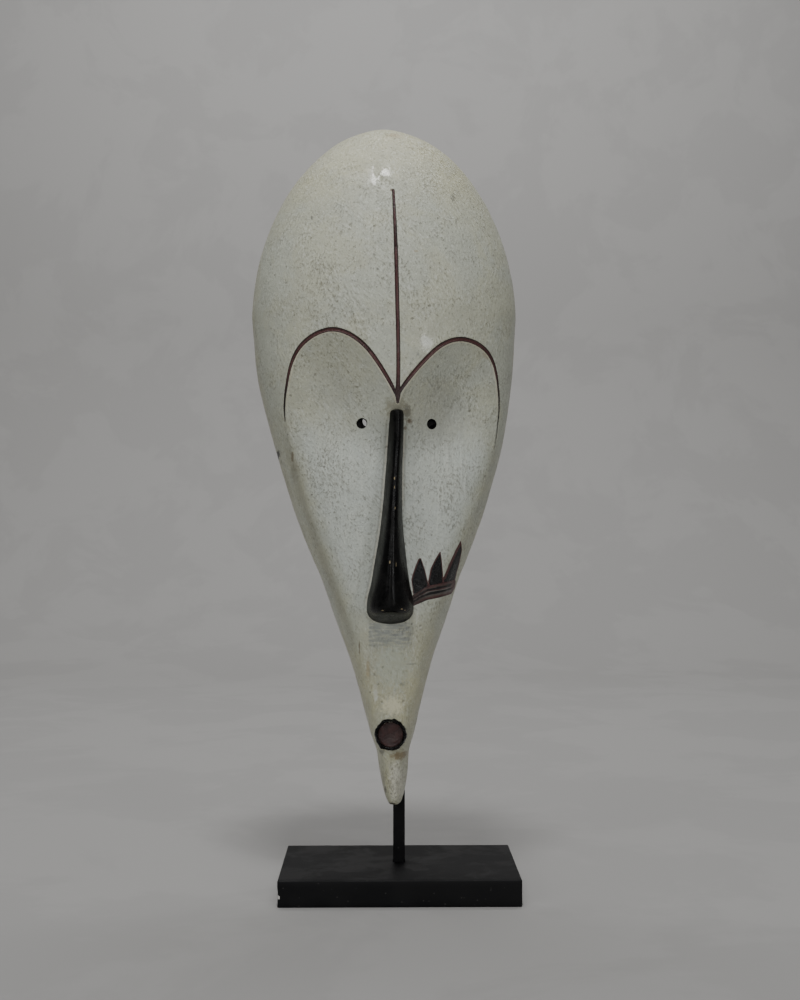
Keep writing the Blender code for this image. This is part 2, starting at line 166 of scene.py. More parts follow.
def black_paint(name, colour, rub, gloss, patch, shine):
    """Thin black paint: its gloss changes in patches and it is rubbed greyer here and there."""
    finish, tree, shader, place = new_finish(name)
    shader.inputs["Specular IOR Level"].default_value = shine
    worn = use_effect(tree, wear, {"Place": place, "Patch": patch, "Hardness": 0.3})
    marks = use_effect(tree, brush_marks, {"Place": place, "Width": 0.0008, "Length": 9.0})["Marks"]
    dust = use_effect(tree, specks, {"Place": place, "Size": 0.0022, "Share": 0.05})["Spots"]
    shade = blend_colour(tree, calc(tree, "MULTIPLY", worn["Wear"], 0.6), colour, rub)
    shade = blend_colour(tree, calc(tree, "MULTIPLY", dust, 0.35), shade, (0.10, 0.095, 0.09, 1))
    tree.links.new(shade, shader.inputs["Base Color"])
    rough = spread(tree, worn["Wear"], 0.0, 1.0, gloss, gloss + 0.14)
    tree.links.new(calc(tree, "ADD", rough, calc(tree, "MULTIPLY", dust, 0.2)),
                   shader.inputs["Roughness"])
    height = calc(tree, "ADD", calc(tree, "MULTIPLY", marks, 0.5),
                  calc(tree, "MULTIPLY", worn["Fine"], 0.5))
    bump = add(tree, "Bump", {"Height": height, "Strength": 0.18, "Distance": 0.0003})
    tree.links.new(bump.outputs[0], shader.inputs["Normal"])
    return finish, tree, shader, place, shade


def piece_from(name, bm, finishes):
    """An object from a bmesh, placed in its mesh, with its materials."""
    mesh = bpy.data.meshes.new(name)
    bm.to_mesh(mesh)
    bm.free()
    for finish in finishes:
        mesh.materials.append(finish)
    made = bpy.data.objects.new(name, mesh)
    bpy.context.scene.collection.objects.link(made)
    return made


board_low, board_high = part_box("base")
bar_low, bar_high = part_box("rod")
board_size = board_high - board_low
bm = bmesh.new()
bmesh.ops.create_cube(bm, size=1)
bmesh.ops.scale(bm, vec=board_size, verts=bm.verts[:])
bmesh.ops.translate(bm, vec=(board_low + board_high) / 2, verts=bm.verts[:])
bmesh.ops.bevel(bm, geom=bm.edges[:], offset=BOARD_EDGE, segments=3, affect="EDGES",
                profile=0.5, material=-1)
for axis in range(3):
    cuts = max(2, round(board_size[axis] / BOARD_CELL))
    for step in range(1, cuts):
        across = Vector((0, 0, 0))
        across[axis] = 1
        at = board_low + board_size * step / cuts
        bmesh.ops.bisect_plane(bm, geom=bm.verts[:] + bm.edges[:] + bm.faces[:], plane_co=at,
                               plane_no=across)
chip = Vector((board_low.x, board_low.y, CHIP_HEIGHT))
for vert in bm.verts:
    inward = Vector((-vert.co.x, -vert.co.y, 0)).normalized()
    close = max(0, 1 - (vert.co - chip).length / (2 * CHIP_SIZE))
    vert.co += inward * CHIP_DEPTH * close**1.5
    near_edge = min(abs(vert.co.z - board_high.z), 0.004) < 0.002
    vert.co.z += BOARD_WAVE * noise.noise(vert.co * 90) * near_edge
board = piece_from("board", bm, [])
hole = bmesh.new()
bmesh.ops.create_cube(hole, size=1)
bmesh.ops.scale(hole, vec=(bar_high.x - bar_low.x + 2 * HOLE_GAP, bar_high.y - bar_low.y + 2 * HOLE_GAP,
                           2 * (board_high.z - bar_low.z + HOLE_GAP)), verts=hole.verts[:])
bmesh.ops.translate(hole, vec=((bar_low.x + bar_high.x) / 2, (bar_low.y + bar_high.y) / 2,
                               board_high.z), verts=hole.verts[:])
hole = piece_from("board_hole", hole, [])


def cut_with(piece, cutters):
    """Applies Booleans of (object, operation), keeps the cutters' materials and drops them."""
    for other, operation in cutters:
        step = piece.modifiers.new(other.name, "BOOLEAN")
        step.object = other
        step.operation = operation
        step.material_mode = "TRANSFER"
    bpy.context.view_layer.update()
    shown = piece.evaluated_get(bpy.context.evaluated_depsgraph_get())
    cut = bpy.data.meshes.new_from_object(shown)
    piece.modifiers.clear()
    piece.data = cut
    for other, _ in cutters:
        bpy.data.objects.remove(other, do_unlink=True)


cut_with(board, [(hole, "DIFFERENCE")])
board_paint, tree, shader, place, shade = black_paint(
    "black board paint", (0.0018, 0.0019, 0.0025, 1), (0.0060, 0.0060, 0.0065, 1), 0.50, 0.035, 0.21)
gap = add(tree, "VectorMath", {0: place, 1: chip}, operation="DISTANCE").outputs["Value"]
ragged = add(tree, "TexNoise", {"Vector": place, "Scale": 700.0, "Detail": 2.0}).outputs["Fac"]
gap = calc(tree, "ADD", gap, calc(tree, "MULTIPLY", ragged, 0.0022))
bare = spread(tree, gap, CHIP_SIZE + 0.0004, CHIP_SIZE)
shade = blend_colour(tree, bare, shade, (0.62, 0.61, 0.58, 1))
tree.links.new(shade, shader.inputs["Base Color"])
board.data.materials.clear()
board.data.materials.append(board_paint)
board.data.shade_smooth()
board.data.set_sharp_from_angle(angle=math.radians(40))
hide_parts("base")
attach(board, "root")


# The bar
# Square steel bar under satin black paint. It stands in the board's hole, runs up behind the
# chin through the hollow of the mask and ends in a blind hole in the crown.

bar_paint = black_paint("black bar paint", (0.0020, 0.0021, 0.0028, 1), (0.0055, 0.0054, 0.0058, 1),
                        0.40, 0.012, 0.20)[0]
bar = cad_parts["rod"]
bar.data.materials.clear()
bar.data.materials.append(bar_paint)


# The mask
# One block of pale wood, carved and hollowed from behind, under off-white clay paint. The shape
# is the block's outline level by level, and then the heart-shaped face sunk under the brow.

mask_low, mask_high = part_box("mask")
MASK_FOOT = mask_low.z
MASK_HEIGHT = mask_high.z - mask_low.z
HALF_WIDTH = 0.1128
MASK_DEPTH = 0.125
RIM_BEHIND_BAR = 0.016
BAR_SETBACK = 0.004
BAR_SIDE = 0.010
SIDE_WALL = 0.012
FRONT_WALL = 0.014
CROWN_WALL = 0.030
HOLLOW_FOOT = 0.080
SCOOP_WIDTH = 0.011
SCOOP_DEPTH = 0.0011
FACE_SINK = 0.017
FACE_EASE = 0.052
WIDEST = 0.716
DOME_POWER = 1.87
APEX_DEPTH = 0.36 * MASK_DEPTH
MIDDLE_DEPTH = 0.29 * MASK_DEPTH
BACK_DEPTH = -0.68 * MASK_DEPTH
FRONT_CELL = 0.0021
LINE_CELL = 0.0008
BACK_CELL = 0.008


def curve(*knots):
    """A smooth curve through (place, value) knots that never swings past them."""
    x, y = np.array(knots, float).T
    rise = np.diff(y) / np.diff(x)
    slope = np.zeros(len(x))
    same = rise[:-1] * rise[1:] > 0
    slope[1:-1][same] = 2 * (rise[:-1] * rise[1:])[same] / (rise[:-1] + rise[1:])[same]
    slope[0], slope[-1] = rise[0], rise[-1]

    def value(at):
        at = np.clip(np.asarray(at, float), x[0], x[-1])
        i = np.clip(np.searchsorted(x, at) - 1, 0, len(x) - 2)
        span = x[i + 1] - x[i]
        t = (at - x[i]) / span
        start = (2 * t**3 - 3 * t**2 + 1) * y[i] + (t**3 - 2 * t**2 + t) * span * slope[i]
        end = (3 * t**2 - 2 * t**3) * y[i + 1] + (t**3 - t**2) * span * slope[i + 1]
        return start + end

    return value


low_width = curve((0, 0.055), (0.012, 0.076), (0.025, 0.090), (0.044, 0.104), (0.070, 0.119),
                  (0.100, 0.163), (0.141, 0.214), (0.191, 0.283), (0.225, 0.336), (0.262, 0.406),
                  (0.296, 0.464), (0.327, 0.516), (0.355, 0.575), (0.405, 0.675), (0.448, 0.747),
                  (0.548, 0.889), (0.64, 0.972), (WIDEST, 1.0))
low_front = curve((0, 0.50), (0.006, 0.535), (0.020, 0.560), (0.045, 0.578), (0.070, 0.585),
                  (0.080, 0.592), (0.088, 0.615), (0.097, 0.668), (0.105, 0.69), (0.125, 0.706),
                  (0.155, 0.700), (0.19, 0.680), (0.28, 0.75), (0.36, 0.80), (0.47, 0.88),
                  (0.58, 0.955), (0.65, 0.985), (WIDEST, 1.0))
squareness = curve((0, 2.6), (0.10, 3.2), (0.35, 2.7), (0.60, 2.0), (1, 2.0))
turn_degrees = curve((0, -2.5), (0.11, -2.5), (0.30, -0.5), (0.45, 2.5), (0.58, 5.5), (1, 5.5))
stray = curve((0, -0.025), (0.09, -0.041), (0.20, -0.053), (0.40, -0.078), (0.51, -0.092),
              (0.65, -0.126), (0.85, -0.130), (0.95, -0.130), (1, -0.137))
sink_share = curve((0.13, 0), (0.19, 0.16), (0.28, 0.36), (0.36, 0.48), (0.47, 0.70),
                   (0.553, 1.0), (1, 1.0))
HEART_TIP = (0.004, 0.577)
HEART_FOOT = (0.0, 0.132)
LEFT_LOBE = [(-0.058, 0.607), (-0.190, 0.648), (-0.325, 0.671), (-0.460, 0.678), (-0.595, 0.668),
             (-0.692, 0.646), (-0.753, 0.604), (-0.774, 0.562), (-0.717, 0.500), (-0.561, 0.402),
             (-0.343, 0.284), (-0.166, 0.187), (-0.060, 0.140)]
RIGHT_LOBE = [(0.051, 0.598), (0.200, 0.633), (0.347, 0.659), (0.498, 0.668), (0.654, 0.659),
              (0.746, 0.637), (0.784, 0.595), (0.773, 0.553), (0.718, 0.489), (0.580, 0.409),
              (0.362, 0.294), (0.180, 0.187), (0.060, 0.140)]


def block(share, side=0.0, front=0.0, crown=0.0):
    """Half width, front, middle and back depth of a level, less the given walls."""
    top = 1 - crown / MASK_HEIGHT
    rise = np.clip((share - WIDEST) / (top - WIDEST), 0, 1)
    dome = (1 - rise**DOME_POWER) ** (1 / DOME_POWER)
    above = share > WIDEST
    width = np.where(above, (HALF_WIDTH - side) * dome, HALF_WIDTH * low_width(share) - side)
    crest = MASK_DEPTH - front
    ahead = np.where(above, APEX_DEPTH + (crest - APEX_DEPTH) * dome,
                     MASK_DEPTH * low_front(share) - front)
    middle = np.minimum(MIDDLE_DEPTH + (APEX_DEPTH - MIDDLE_DEPTH) * rise, 0.6 * ahead)
    return np.maximum(width, 0), ahead, middle, APEX_DEPTH - (APEX_DEPTH - BACK_DEPTH) * dome


def to_world(x, depth, share):
    """World places of points of the mask, given across, forward from the rim and up."""
    turn = np.radians(turn_degrees(share))
    reach = depth - RIM_BEHIND_BAR
    return np.stack([x * np.cos(turn) + reach * np.sin(turn) + stray(share) * HALF_WIDTH,
                     BAR_SETBACK - reach * np.cos(turn) + x * np.sin(turn),
                     MASK_FOOT + share * MASK_HEIGHT + 0 * x], axis=-1)


def to_mask(places):
    """Across, forward from the rim and share of the height, of places in the world."""
    share = (places[:, 2] - MASK_FOOT) / MASK_HEIGHT
    turn = np.radians(turn_degrees(share))
    x = places[:, 0] - stray(share) * HALF_WIDTH
    y = places[:, 1] - BAR_SETBACK
    across = x * np.cos(turn) + y * np.sin(turn)
    return across, x * np.sin(turn) - y * np.cos(turn) + RIM_BEHIND_BAR, share


def through(points, steps):
    """A smooth line through the points, ends included, with the given steps between two."""
    p = np.array(points, float)
    p = np.vstack([2 * p[0] - p[1], p, 2 * p[-1] - p[-2]])
    t = np.arange(steps)[:, None] / steps
    spans = []
    for a, b, c, d in zip(p, p[1:], p[2:], p[3:]):
        spans.append(b + 0.5 * t * (c - a + t * (2 * a - 5 * b + 4 * c - d
                                                 + t * (3 * (b - c) + d - a))))
    return np.vstack(spans + [p[-2:-1]])


def from_line(points, line, closed=False):
    """Distance of points to a line, and how far along the line the nearest place is, 0 to 1."""
    start = line if closed else line[:-1]
    run = np.roll(line, -1, axis=0) - line if closed else line[1:] - line[:-1]
    length = np.linalg.norm(run, axis=1)
    before = np.concatenate([[0], np.cumsum(length)])[:-1]
    gaps, along = [], []
    for part in np.array_split(points, max(1, len(points) // 3000)):
        p = part[:, None, :] - start
        t = np.clip((p * run).sum(-1) / (run * run).sum(-1), 0, 1)
        gap = np.linalg.norm(p - t[..., None] * run, axis=-1)
        nearest = gap.argmin(axis=1)
        row = np.arange(len(part))
        gaps.append(gap[row, nearest])
        along.append((before[nearest] + t[row, nearest] * length[nearest]) / length.sum())
    return np.concatenate(gaps), np.concatenate(along)


def inside(points, outline):
    """Distance of points to a closed outline, positive inside it."""
    gap = from_line(points, outline, closed=True)[0]
    a, b = outline, np.roll(outline, -1, axis=0)
    odd = []
    for part in np.array_split(points, max(1, len(points) // 3000)):
        x, y = part[:, 0, None], part[:, 1, None]
        crosses = (a[:, 1] > y) != (b[:, 1] > y)
        with np.errstate(divide="ignore", invalid="ignore"):
            at = a[:, 0] + (y - a[:, 1]) / (b[:, 1] - a[:, 1]) * (b[:, 0] - a[:, 0])
        odd.append((crosses & (x < at)).sum(axis=1) % 2 == 1)
    return np.where(np.concatenate(odd), gap, -gap)


left_side = through([HEART_TIP] + LEFT_LOBE + [HEART_FOOT], 8)
right_side = through([HEART_TIP] + RIGHT_LOBE + [HEART_FOOT], 8)
HEART = np.vstack([left_side, right_side[-2:0:-1]]) * (HALF_WIDTH, MASK_HEIGHT)


def on_sheet(x, share):
    """The mask's front laid flat, in metres."""
    return np.stack([x, share * MASK_HEIGHT], axis=-1)


def sink(x, share):
    """How far the face lies behind the uncut block."""
    ease = np.clip(inside(on_sheet(x, share), HEART) / FACE_EASE, 0, 1)
    return FACE_SINK * sink_share(share) * (1 - (1 - ease) ** 2)


def front_depth(x, share, cut=True):
    """Depth of the front from the rim, with or without the sunken face."""
    width, ahead, middle, _ = block(share)
    off = np.clip(np.abs(x) / np.maximum(width, 1e-6), 0, 1)
    swell = np.sqrt(np.clip(1 - off ** squareness(share), 0, 1))
    return middle + (ahead - middle) * swell - (sink(x, share) if cut else 0)


def ring_angle(u):
    return 2 * math.pi * u - 0.35 * np.sin(2 * math.pi * u)


def level_share(v, foot=0.0, top=1.0):
    """Share of the height for v from 0 to 1; the steps close up towards the top."""
    bend = 0.616
    rise = np.clip((v - bend) / (1 - bend), 0, 1) * math.pi / 2
    low = foot + (WIDEST - foot) * np.clip(v / bend, 0, 1)
    return np.where(v < bend, low, WIDEST + (top - WIDEST) * np.sin(rise) ** (2 / DOME_POWER))


def block_place(u, v):
    """World place of a point of the flat grid on the outside of the mask."""
    share, angle = level_share(v), ring_angle(u)
    width, _, middle, behind = block(share)
    x = width * np.sin(angle)
    back = middle + (middle - behind) * np.cos(angle)
    ahead = np.cos(angle) > 0
    depth = back.copy()
    depth[ahead] = front_depth(x[ahead], share[ahead])
    return to_world(x, depth, share)


def hollow_place(u, v):
    """World place of a point of the flat grid on the hollow."""
    foot = HOLLOW_FOOT / MASK_HEIGHT
    share = level_share(v, foot, 1 - CROWN_WALL / MASK_HEIGHT)
    width, ahead, middle, behind = block(share, SIDE_WALL, FRONT_WALL, CROWN_WALL)
    angle = ring_angle(u)
    rise = np.clip((share - foot) * MASK_HEIGHT / (2 * SIDE_WALL + BAR_SIDE), 0, 1)
    opening = np.sqrt(1 - (1 - rise) ** 2)
    width = width * opening
    ahead = middle + (ahead - middle) * opening
    across = np.sin(angle)
    swell = np.sqrt(np.clip(1 - np.abs(across) ** squareness(share), 0, 1))
    front = middle + (ahead - middle) * swell - sink(width * across, share) * swell
    back = middle + (middle - behind) * np.cos(angle)
    return to_world(width * across, np.where(np.cos(angle) > 0, front, back), share)


def flat_grid(columns, rows):
    """A grid over u from -0.5 to 0.5 and v from 0 to 1."""
    sheet = bmesh.new()
    bmesh.ops.create_grid(sheet, x_segments=columns, y_segments=rows, size=0.5)
    bmesh.ops.translate(sheet, verts=sheet.verts[:], vec=(0, 0.5, 0))
    return sheet


def uv_of(verts):
    co = np.array([v.co[:2] for v in verts])
    return co[:, 0], co[:, 1]


def wrap(sheet, place):
    """Bends a flat grid round into its closed form and closes its foot."""
    verts = sheet.verts[:]
    for vert, co in zip(verts, place(*uv_of(verts))):
        vert.co = co
    bmesh.ops.remove_doubles(sheet, verts=sheet.verts[:], dist=2e-5)
    bmesh.ops.holes_fill(sheet, edges=[e for e in sheet.edges if e.is_boundary], sides=0)
    bmesh.ops.recalc_face_normals(sheet, faces=sheet.faces[:])
    if sheet.calc_volume(signed=True) < 0:
        bmesh.ops.reverse_faces(sheet, faces=sheet.faces[:])


# The lines cut along the brow and up the forehead, and the pointed teeth on one cheek
LINE_WIDTH = 0.0034
LINE_DEPTH = 0.0009
LINE_OFFSET = 0.0012
TOOTH_DEPTH = 0.0004


def outside(line):
    """The line moved off the face's outline, to the side of the uncut block."""
    run = np.gradient(line, axis=0)
    normal = np.column_stack([run[:, 1], -run[:, 0]]) / np.linalg.norm(run, axis=1)[:, None]
    side = np.sign(inside(line + 0.002 * normal, HEART).sum())
    return line - side * LINE_OFFSET * normal


brow_left = outside(through([HEART_TIP] + LEFT_LOBE[:9], 10)[:-9] * (HALF_WIDTH, MASK_HEIGHT))
brow_right = outside(through([HEART_TIP] + RIGHT_LOBE[:9], 10)[:-5] * (HALF_WIDTH, MASK_HEIGHT))
median = through([(0.004, 0.577), (0.0195, 0.640), (0.0120, 0.723), (0.0080, 0.793),
                  (0.0020, 0.8815)], 12) * (HALF_WIDTH, MASK_HEIGHT)
brow_taper = curve((0, 0.30), (0.04, 0.62), (0.10, 0.95), (0.4, 1.10), (0.65, 1.05), (0.8, 0.80),
                   (0.93, 0.62), (1, 0.40))
median_taper = curve((0, 0.40), (0.02, 0.95), (0.045, 1.25), (0.09, 1.05), (0.13, 1.0), (0.6, 1.0),
                     (0.85, 0.88), (1, 0.68))
TEETH = [
    [(0.150, 0.329), (0.158, 0.3365), (0.1795, 0.3495), (0.201, 0.3600), (0.218, 0.3600),
     (0.248, 0.3435), (0.272, 0.3245), (0.278, 0.3200), (0.168, 0.3060)],
    [(0.2735, 0.328), (0.288, 0.3450), (0.319, 0.3578), (0.357, 0.3705), (0.365, 0.3630),
     (0.3745, 0.3505), (0.3825, 0.3345), (0.384, 0.3235), (0.278, 0.3190)],
    [(0.385, 0.3315), (0.423, 0.3500), (0.468, 0.3702), (0.512, 0.3860), (0.5235, 0.3715),
     (0.512, 0.3555), (0.491, 0.3385), (0.4784, 0.3265), (0.384, 0.3235)]]
BAND_TOP = [(0.160, 0.3070), (0.1696, 0.3084), (0.2777, 0.3207), (0.3835, 0.3247), (0.4784, 0.3275),
            (0.486, 0.3250)]
BAND_FOOT = [(0.160, 0.2905), (0.1746, 0.2923), (0.2693, 0.3001), (0.3430, 0.3025), (0.4517, 0.3067),
             (0.482, 0.3150)]
teeth = [np.array(tooth) * (HALF_WIDTH, MASK_HEIGHT) for tooth in TEETH]
band = np.array(BAND_TOP + BAND_FOOT[::-1]) * (HALF_WIDTH, MASK_HEIGHT)
band_top, band_foot = curve(*BAND_TOP), curve(*BAND_FOOT)


def raised(line):
    """A line of the flat sheet laid on the uncut block, in the mask's own space."""
    return np.column_stack([line, front_depth(line[:, 0], line[:, 1] / MASK_HEIGHT, cut=False)])


def read_marks(x, share, depth):
    """Each mark's own measure at the given points; distances are negative inside the mark."""
    flat = on_sheet(x, share)
    solid = np.column_stack([flat, depth])
    line = np.full(len(x), 0.02)
    level = np.zeros(len(x))
    for path, taper in ((brow_left, brow_taper), (brow_right, brow_taper), (median, median_taper)):
        gap, along = from_line(solid, raised(path))
        half = LINE_WIDTH / 2 * taper(along)
        nearer = gap - half < line
        line = np.where(nearer, gap - half, line)
        level = np.where(nearer, np.clip(1 - gap / half, 0, 1), level)
    across = x / HALF_WIDTH
    height = band_top(across) - band_foot(across)
    return {"line": line, "line_level": level,
            "tooth": np.min([-inside(flat, shape) for shape in teeth], axis=0),
            "tooth_left": np.min([from_line(flat, shape[:4])[0] for shape in teeth], axis=0),
            "band": -inside(flat, band),
            "stripe": np.clip((band_top(across) - share) / height, -1, 2),
            "face": inside(flat, HEART)}


def relief(x, share, depth, places):
    """How far the carved and painted surface stands off the plain form."""
    marks = read_marks(x, share, depth)
    front = depth > 0.03
    groove = -LINE_DEPTH * marks["line_level"] ** 0.8
    tooth = -TOOTH_DEPTH * np.clip(-marks["tooth"] / 0.0009, 0, 1)
    stripes = -0.5 * TOOTH_DEPTH * (1 - np.cos(2 * math.pi * 3 * marks["stripe"])) / 2
    stripes = np.where(marks["band"] < 0, stripes - 0.3 * TOOTH_DEPTH, 0)
    stripes = stripes * np.clip(-marks["band"] / 0.0006, 0, 1)
    rolled = 0.00025 * np.exp(-((marks["face"] - 0.0008) / 0.0008) ** 2) * (marks["line"] < 0.006)
    uneven = np.array([0.00032 * noise.noise(Vector(p) * 34)
                       + 0.00022 * noise.noise(Vector(p) * 95 + Vector((3, 7, 1)))
                       + 0.00010 * noise.noise(Vector((p[0], p[1], 0.35 * p[2])) * 260)
                       for p in places])
    return uneven + np.where(front, groove + np.minimum(tooth, stripes) + rolled, 0)


def refine(sheet):
    """Splits the grid's long edges: short ones in front, shortest by the cut lines."""
    for _ in range(7):
        verts = sheet.verts[:]
        sheet.verts.index_update()
        u, v = uv_of(verts)
        place = block_place(u, v)
        share, angle = level_share(v), ring_angle(u)
        x = block(share)[0] * np.sin(angle)
        flat = on_sheet(x, share)
        limit = np.where(place[:, 1] > BAR_SETBACK + RIM_BEHIND_BAR + 0.008, 10 * BACK_CELL,
                         np.where(np.cos(angle) > 0.12, FRONT_CELL, BACK_CELL / 2))
        close = (np.cos(angle) > 0) & (from_line(flat, brow_left)[0] < 0.0035)
        close |= (np.cos(angle) > 0) & (from_line(flat, brow_right)[0] < 0.0035)
        close |= (np.cos(angle) > 0) & (from_line(flat, median)[0] < 0.0030)
        close |= (np.cos(angle) > 0) & (inside(flat, band) > -0.002)
        for shape in teeth:
            close |= (np.cos(angle) > 0) & (inside(flat, shape) > -0.002)
        limit = np.where(close, LINE_CELL, limit)
        long = [e for e in sheet.edges
                if np.linalg.norm(place[e.verts[0].index] - place[e.verts[1].index])
                > 1.42 * min(limit[e.verts[0].index], limit[e.verts[1].index])]
        if not long:
            break
        bmesh.ops.subdivide_edges(sheet, edges=long, cuts=1, use_grid_fill=True)


def draw_outline(sheet):
    """Lays the grid's own edges along the face's outline, so that the crease is sharp."""
    sheet.verts.index_update()
    u, v = uv_of(sheet.verts)
    share, angle = level_share(v), ring_angle(u)
    gap = inside(on_sheet(block(share)[0] * np.sin(angle), share), HEART)
    gap = np.where(np.cos(angle) > 0, gap, -1.0)
    slide = {}
    for edge in sheet.edges:
        a, b = edge.verts
        if gap[a.index] * gap[b.index] >= 0:
            continue
        t = gap[a.index] / (gap[a.index] - gap[b.index])
        for vert, other, part in ((a, b, t), (b, a, 1 - t)):
            if part < 0.25 and part < slide.get(vert, (1, None))[0]:
                slide[vert] = (part, other.co.copy())
    targets = {vert: vert.co.lerp(to, part) for vert, (part, to) in slide.items()}
    for vert, co in targets.items():
        vert.co = co
    drawn = set(targets)
    for edge in list(sheet.edges):
        a, b = edge.verts
        if a in drawn or b in drawn or gap[a.index] * gap[b.index] >= 0:
            continue
        t = gap[a.index] / (gap[a.index] - gap[b.index])
        drawn.add(bmesh.utils.edge_split(edge, a, t)[1])
    bmesh.ops.connect_verts(sheet, verts=list(drawn))


def displace(sheet, amount):
    """Moves each vertex along its normal."""
    sheet.normal_update()
    moves = [vert.normal * float(step) for vert, step in zip(sheet.verts, amount)]
    for vert, move in zip(sheet.verts, moves):
        vert.co += move


def places_of(sheet):
    return np.array([vert.co[:] for vert in sheet.verts])


sheet = flat_grid(48, 90)
refine(sheet)
draw_outline(sheet)
wrap(sheet, block_place)
places = places_of(sheet)
displace(sheet, relief(*(to_mask(places)[i] for i in (0, 2, 1)), places))
clay = bpy.data.materials.new("clay paint")
wood = bpy.data.materials.new("raw wood")
mask = piece_from("mask_front", sheet, [clay])


def gouged(place, size, depth):
    """Overlapping scoops of a gouge, drawn out along the grain."""
    gaps = noise.voronoi(Vector((place[0], place[1], 0.45 * place[2])) / size)[0]
    return depth * (min(gaps[0], 0.8) ** 2 - 0.25)


hollow = flat_grid(110, 170)
wrap(hollow, hollow_place)
displace(hollow, [gouged(place, SCOOP_WIDTH, SCOOP_DEPTH) for place in places_of(hollow)])
hollow = piece_from("mask_hollow", hollow, [wood])


# Nose and mouth
# Both are carved out of the same block. The nose is a long bar that widens to a rounded foot, and
# the mouth is a raised ring round a shallow dish. Both carry black lacquer, laid on thickly round
# the lips. The eyes are drilled holes, charred black inside.

NOSE_TOP = 0.5690
NOSE_FOOT = 0.2662
NOSE_BED = 0.10
MOUTH_LEVEL = 0.1085
MOUTH_X = 0.003 * HALF_WIDTH
DISH_RADIUS = 0.0101
DISH_FLOOR = -0.0017
LIP_RAGGED = 0.00085
LIP_ROUGH = 0.00065
LIP_DRIP = 0.0009
DRIP_ANGLE = math.radians(238)
EYE_RADIUS = 0.0042
EYE_STRAIGHT = 0.0066
EYE_START = 0.014
EYE_REACH = 0.028
EYES = {"left": (-0.241, 0.5512, -27, -11), "right": (0.263, 0.5512, -17, 28)}
nose_width = curve((0.2662, 0.080), (0.2685, 0.120), (0.274, 0.150), (0.281, 0.166),
                   (0.288, 0.170), (0.300, 0.166), (0.325, 0.139), (0.373, 0.102),
                   (0.420, 0.075), (0.468, 0.063), (0.515, 0.0565), (0.548, 0.054),
                   (0.5630, 0.0525), (0.5672, 0.047), (0.5690, 0.032))
nose_ridge = curve((0.2662, 0.715), (0.272, 0.79), (0.279, 0.885), (0.2845, 0.965),
                   (0.2885, 0.995), (0.294, 1.008), (0.33, 1.0), (0.42, 0.975), (0.52, 0.952),
                   (0.555, 0.957), (0.5660, 0.960), (0.5690, 0.938))
# The section of the lips as (distance from the mouth's middle, height over the chin)
LIP_SECTION = [(0, -0.016), (0.0125, -0.016), (0.0127, -0.004), (0.0127, 0.0008), (0.0124, 0.0024),
               (0.0118, 0.0035), (0.0112, 0.0038), (0.0106, 0.0034), (0.0103, 0.0024),
               (0.0102, 0.0012), (0, 0.0010)]


def nose_place(u, v):
    share = NOSE_FOOT + (NOSE_TOP - NOSE_FOOT) * (0.5 - 0.5 * np.cos(math.pi * v))
    angle = 2 * math.pi * u
    width = HALF_WIDTH * nose_width(share)
    ridge = MASK_DEPTH * nose_ridge(share)
    face = front_depth(0 * share, share)
    bed = np.minimum(face, ridge) - NOSE_BED * MASK_DEPTH * np.clip(width / 0.008, 0.25, 1)
    middle = bed + 0.2 * (ridge - bed)
    reach = np.where(np.cos(angle) > 0, ridge - middle, middle - bed)
    return to_world(width * np.sin(angle), middle + reach * np.cos(angle), share)


nose = flat_grid(64, 130)
wrap(nose, nose_place)
displace(nose, [0.00022 * noise.noise(Vector((p[0], p[1], 0.4 * p[2])) * 120)
                for p in places_of(nose)])
lacquer = bpy.data.materials.new("black lacquer")
nose = piece_from("mask_nose", nose, [lacquer])


def facing(depth, x, share, lean=(0.0, 0.0)):
    """Turns +Z to the mask's own forward direction there, leaning by (side, up) in degrees."""
    where = to_world(np.array([x]), np.array([depth]), np.array([share]))[0]
    heading = Matrix.Rotation(math.radians(float(turn_degrees(share)) + lean[0]), 4, "Z")
    forward = Matrix.Rotation(math.pi / 2 - math.radians(lean[1]), 4, "X")
    return Matrix.Translation(where) @ heading @ forward


def drill(name, radius, low, high, where, sides, finish, ease=0.0):
    """A round cutter from low to high over a place, its inner end eased."""
    made = bmesh.new()
    bmesh.ops.create_cone(made, cap_ends=True, segments=sides, radius1=radius, radius2=radius,
                          depth=high - low)
    if ease:
        rim = [e for e in made.edges if all(v.co.z < 0 for v in e.verts)]
        bmesh.ops.bevel(made, geom=rim, offset=ease, segments=4, affect="EDGES", profile=0.5,
                        material=-1)
    bmesh.ops.translate(made, vec=(0, 0, (low + high) / 2), verts=made.verts[:])
    made.transform(where)
    return piece_from(name, made, [finish])


